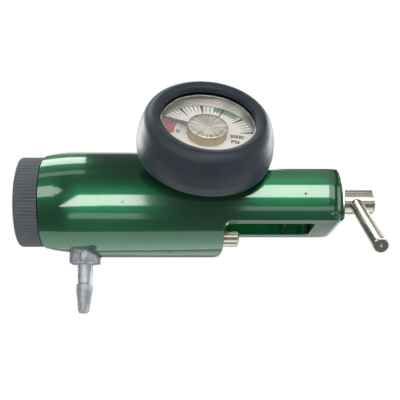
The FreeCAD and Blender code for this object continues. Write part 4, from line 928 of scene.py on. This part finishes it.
# %% Finish of the hub's face
def ringed_brass_painted_glints():
    """Metal with its gloss stretched along the rings, and painted highlights in its colour: pale and dark
    wedges round the hub from 1-D noise.
    """
    finish = Finish("turned_hub_face_painted_glints")
    tangent = finish.add("ShaderNodeTangent", direction_type="UV_MAP", uv_map="grid")
    round_the_hub = finish.split(finish.coordinates.outputs["UV"])[0]
    # painted highlight: the colour turns pale and dark in wedges round the hub, where the lamps' glints
    # would fall
    glint_spokes = finish.add("ShaderNodeTexNoise", noise_dimensions="1D", Scale=34.0, Detail=3.0)
    finish.link(round_the_hub, glint_spokes.inputs["W"])
    colour = finish.ramp(glint_spokes.outputs["Fac"], (0.35, (0.56, 0.50, 0.36)), (0.6, (0.92, 0.88, 0.76)))
    rings = finish.noise(2600.0, detail=3.0)
    finish.feed(Base_Color=colour, Roughness=finish.between(rings, low=0.30, high=0.42),
                Normal=finish.bump(rings, strength=0.08, distance=0.00003),
                Tangent=tangent.outputs["Tangent"])
    finish.set(Metallic=1.0, Anisotropic=0.8)
    return finish.material


HUB_FACE = ringed_brass_painted_glints()
print("nodes in the hub's face:", len(HUB_FACE.node_tree.nodes))

# %% Hub and needle
HUB_RADIUS, HUB_TOP, HUB_GAP = 6.85, 33.65, 0.3
HUB_DISH_RADIUS, HUB_DISH_DEPTH = 5.6, 0.5
FACE_LIMIT = 0.6


def hub_surface():
    """A turned button; inside the dish radius its face sinks in a straight line to the centre."""
    profile = rounded([
        (0, DIAL_HEIGHT + HUB_GAP), (HUB_RADIUS, DIAL_HEIGHT + HUB_GAP), (HUB_RADIUS, HUB_TOP),
        (HUB_DISH_RADIUS, HUB_TOP), (0, HUB_TOP - HUB_DISH_DEPTH),
    ], [0, 0.15, 0.5, 0.4, 0], 5)
    rings = np.linspace(HUB_DISH_RADIUS - 0.2, 0, 12)[1:-1]
    dish = np.stack([rings, HUB_TOP - HUB_DISH_DEPTH * (1 - rings / HUB_DISH_RADIUS)], 1)
    return turned("brass_hub", np.concatenate([profile[:-1], dish, profile[-1:]]), GAUGE, 96)


hub_mesh = hub_surface()
new_piece("brass_hub", hub_mesh, "pointer", HUB_FACE, ("gauge_hub",))
hub_mesh.materials.append(metal("hub_side", (0.46, 0.36, 0.17), 0.34, dirt=0.2))
faces_out = vectors_of(hub_mesh.polygons, "normal", len(hub_mesh.polygons)) @ gauge_out
hub_mesh.polygons.foreach_set("material_index", (faces_out < FACE_LIMIT).astype(int))
needle_mesh = smooth_copy("gauge_pointer")
new_piece("gauge_needle", needle_mesh, "pointer", NEEDLE, ("gauge_pointer",))
print("hub faces", len(hub_mesh.polygons))

# %% [markdown]
# ## What keeps its CAD mesh
#
# The window, the dial and everything inside the body are seen little or not at all, and their CAD
# meshes are good enough. New meshes would add nothing. They only get their finishes, by the slot
# that the CAD model gave them.

# %% Finishes for the CAD pieces
INNER = {
    "brass_bright": BRASS, "steel": STEEL, "seal_rubber": SEAL, "seat_polymer": POLYMER,
    "satin_metal": SATIN,
}
finish_of = {node: INNER[slot] for node, slot in slot_of.items() if slot in INNER}
finish_of.update(gauge_window=WINDOW, gauge_dial=DIAL_WHITE)
for node, finish in finish_of.items():
    NODES[node].data.materials.clear()
    NODES[node].data.materials.append(finish)
print("CAD pieces with a finish:", len(finish_of))

# %% [markdown]
# ## The studio
#
# The photo has a white table and a white background, and dark surroundings that the metal shows.
# White light from all sides would give the background, but it would wash out the green. So the
# world answers each kind of ray on its own. The camera sees white. Mirror rays see white behind
# the regulator and a dim, cool room elsewhere. All other rays get an even fill, which sets the
# level of the dull pieces.

# %% The white background and the dim room
ROOM_GLOW = 0.145
ROOM_TINT = (0.96, 1.0, 1.06, 1.0)
FILL_GLOW = 0.80
WHITE = (1.0, 1.0, 1.0, 1.0)
BEHIND = (0.62, 0.80)
HORIZON = (-0.24, -0.06)
FAR_TABLE = (-0.5, -0.3)

world = bpy.data.worlds.new("studio")
bpy.context.scene.world = world
world.use_nodes = True
studio = Nodes(world.node_tree)
ray = studio.add("ShaderNodeLightPath").outputs
to_back, to_top = studio.split(studio.add("ShaderNodeTexCoord").outputs["Generated"])[1:]
far_table = studio.maths("SUBTRACT", 1.0, studio.step(to_top, *FAR_TABLE))
above_or_table = studio.maths("MAXIMUM", studio.step(to_top, *HORIZON), far_table)
backdrop = studio.maths("MULTIPLY", studio.step(to_back, *BEHIND), above_or_table)
room = studio.maths("MULTIPLY_ADD", backdrop, 1 - ROOM_GLOW, ROOM_GLOW)
mirrored = studio.maths("MAXIMUM", ray["Is Glossy Ray"], ray["Is Transmission Ray"])
unseen = studio.maths("MULTIPLY_ADD", mirrored, studio.maths("SUBTRACT", room, FILL_GLOW), FILL_GLOW)
strength = studio.maths("MULTIPLY_ADD", ray["Is Camera Ray"], studio.maths("SUBTRACT", 1.0, unseen), unseen)
white_share = studio.maths("MAXIMUM", ray["Is Camera Ray"], backdrop)
background = studio.tree.nodes["Background"]
studio.link(strength, background.inputs["Strength"])
studio.link(studio.mix(white_share, ROOM_TINT, WHITE), background.inputs["Color"])
print("room", ROOM_GLOW, "fill", FILL_GLOW)

# %% [markdown]
# ### Lamps
#
# A soft box looks equally bright from everywhere in front of it. That brightness, not the power,
# is what a mirror shows, so each lamp is given its glow: 1 is as bright as white paper in this
# light. The renderer spreads a power P over an area A as a glow of P / (4 A), which gives the
# power from the glow.

# %% A soft box
def lamp(name, centre, target, size, glow, colour=(1, 1, 1)):
    """A rectangular soft box that faces the target; size is its width and height."""
    light = bpy.data.lights.new(name, "AREA")
    light.shape = "RECTANGLE"
    light.size, light.size_y = size[0] * MM, size[1] * MM
    light.energy = 4 * glow * light.size * light.size_y
    light.color = colour
    box = bpy.data.objects.new(name, light)
    bpy.context.scene.collection.objects.link(box)
    centre, target = Vector(centre) * MM, Vector(target) * MM
    turn = (target - centre).to_track_quat("-Z", "Y").to_matrix().to_4x4()
    box.matrix_world = Matrix.Translation(centre) @ turn
    print(name, "power", round(light.energy, 3))


# %% [markdown]
# On a round bar the mirror law is simple. A lamp's band lies where the surface's normal halves
# the angle between the lamp and the lens, so the elevation of the lamp sets the height of its
# band, and the lamp's two ends set the ends of the band. Lamps could be moved by trial, but with
# this helper they are placed by the two numbers that the photo gives.

# %% A soft box at an elevation over the bar
LAMP_DISTANCE = 600.0
BAR_FRONT, BAR_AXIS = -19.0, -1.0


def lamp_at(name, x_range, elevations, glow, colour=(1, 1, 1)):
    """A soft box between two X values and two elevations, as seen from the bar's front.

    Its middle is at (distance times cosine, distance times sine) of the middle elevation, and its
    height is twice the distance times the tangent of half the difference.
    """
    low, high = (math.radians(e) for e in elevations)
    middle = (low + high) / 2
    height = 2 * LAMP_DISTANCE * math.tan((high - low) / 2)
    x = (x_range[0] + x_range[1]) / 2
    centre = (x, BAR_FRONT - LAMP_DISTANCE * math.cos(middle), BAR_AXIS + LAMP_DISTANCE * math.sin(middle))
    lamp(name, centre, (x, BAR_FRONT, BAR_AXIS), (x_range[1] - x_range[0], height), glow, colour)


# %% [markdown]
# The end of the left box leaned, so its band on the bar ends in a point. A leaning box could be
# one turned lamp, but the law above wants level edges, so it is a stack of eight thin boxes, each
# a little shorter than the one under it. The patch on the tapered end comes from a second, paler
# stack further out. The strips under and over them give the narrow bands of the photo.

# %% Lamps
BOX_GLOW = 4.9
BOX_COLOUR = (1.0, 0.93, 0.96)
LEFT_ROWS, LEFT_LOWEST, LEFT_STEP = 8, -15, 3
LEFT_START, LEFT_END, SHORTER_BY = -305, -73, 18
FAR_LEFT_ENDS = [-345, -305, -285, -305, -345]
FAR_LEFT_START, FAR_LEFT_LOWEST, FAR_LEFT_STEP = -750, 9, 5

for row in range(LEFT_ROWS):
    low = LEFT_LOWEST + LEFT_STEP * row
    ends = (LEFT_START + SHORTER_BY * row, LEFT_END)
    lamp_at(f"left_box_{row}", ends, (low, low + LEFT_STEP), BOX_GLOW, BOX_COLOUR)

for row, end in enumerate(FAR_LEFT_ENDS):
    low = FAR_LEFT_LOWEST + FAR_LEFT_STEP * row
    lamp_at(f"far_left_box_{row}", (FAR_LEFT_START, end), (low, low + FAR_LEFT_STEP), 2.2)

lamp_at("right_box", (34, 146), (4, 31), BOX_GLOW, BOX_COLOUR)
lamp_at("right_box_far", (146, 640), (4, 34), 1.5)
lamp_at("left_strip", (-240, -76), (-42, -30), 0.8)
lamp_at("right_strip", (34, 560), (-25, -16), 0.8)
lamp_at("overhead_left", (-600, -138), (90, 114), 3.4)
lamp_at("overhead_strip", (-600, -138), (58, 68), 0.8)
lamp_at("overhead_right", (30, 700), (38, 80), 0.3)
lamp_at("overhead_middle", (10, 170), (86, 106), 0.8)

# %% [markdown]
# The boot is nearly black, and only lamps behind it and over it draw its outline: two pale
# crescents at its sides and one along its upper lip. A brighter fill would show the outline too,
# but it would grey the whole boot. One more lamp at the right lights the end of the screw.

# %% Lamps for the gauge and the screw
GAUGE_MIDDLE = (-10, -22, 18)
lamp("right_side", (520, -140, 40), (20, 0, 0), (240, 300), 1.0)
lamp("left_rim", (-400, 320, 160), GAUGE_MIDDLE, (200, 300), 8.5)
lamp("right_rim", (400, 300, 230), GAUGE_MIDDLE, (200, 340), 9.0)
lamp_at("lip_light", (-60, 70), (112, 152), 5.5)

# %% [markdown]
# ### The table
#
# The underside of the bar shows the table, grey in front and white further back. A plain white
# floor would light the underside evenly and lose that. So the table is grey with a glow that
# rises towards the back.

# %% Table
TABLE_LEVEL = -125.0
TABLE_FRONT, TABLE_BACK, TABLE_SIDE = -52.0, 78.0, 600.0
TABLE_GREY = (0.5, 0.5, 0.5, 1)
TABLE_GLOW, GLOW_END = 0.46, 100.0

floor_mesh = bpy.data.meshes.new("table")
corners = [(-TABLE_SIDE, TABLE_FRONT), (TABLE_SIDE, TABLE_FRONT),
           (TABLE_SIDE, TABLE_BACK), (-TABLE_SIDE, TABLE_BACK)]
floor_mesh.from_pydata([(x * MM, y * MM, TABLE_LEVEL * MM) for x, y in corners], [], [(0, 1, 2, 3)])
floor = bpy.data.objects.new("table", floor_mesh)
bpy.context.scene.collection.objects.link(floor)
table = Finish("white_table")
table.set(Base_Color=TABLE_GREY, Roughness=0.7, Emission_Color=WHITE)
to_the_back = table.split(table.coordinates.outputs["Object"])[1]
rising = table.add("ShaderNodeMapRange", interpolation_type="SMOOTHSTEP",
                   From_Min=TABLE_FRONT * MM, From_Max=GLOW_END * MM, To_Max=TABLE_GLOW)
table.link(to_the_back, rising.inputs["Value"])
table.feed(Emission_Strength=rising.outputs["Result"])
floor_mesh.materials.append(table.material)
print("table corners", corners)

# %% Import json
import json
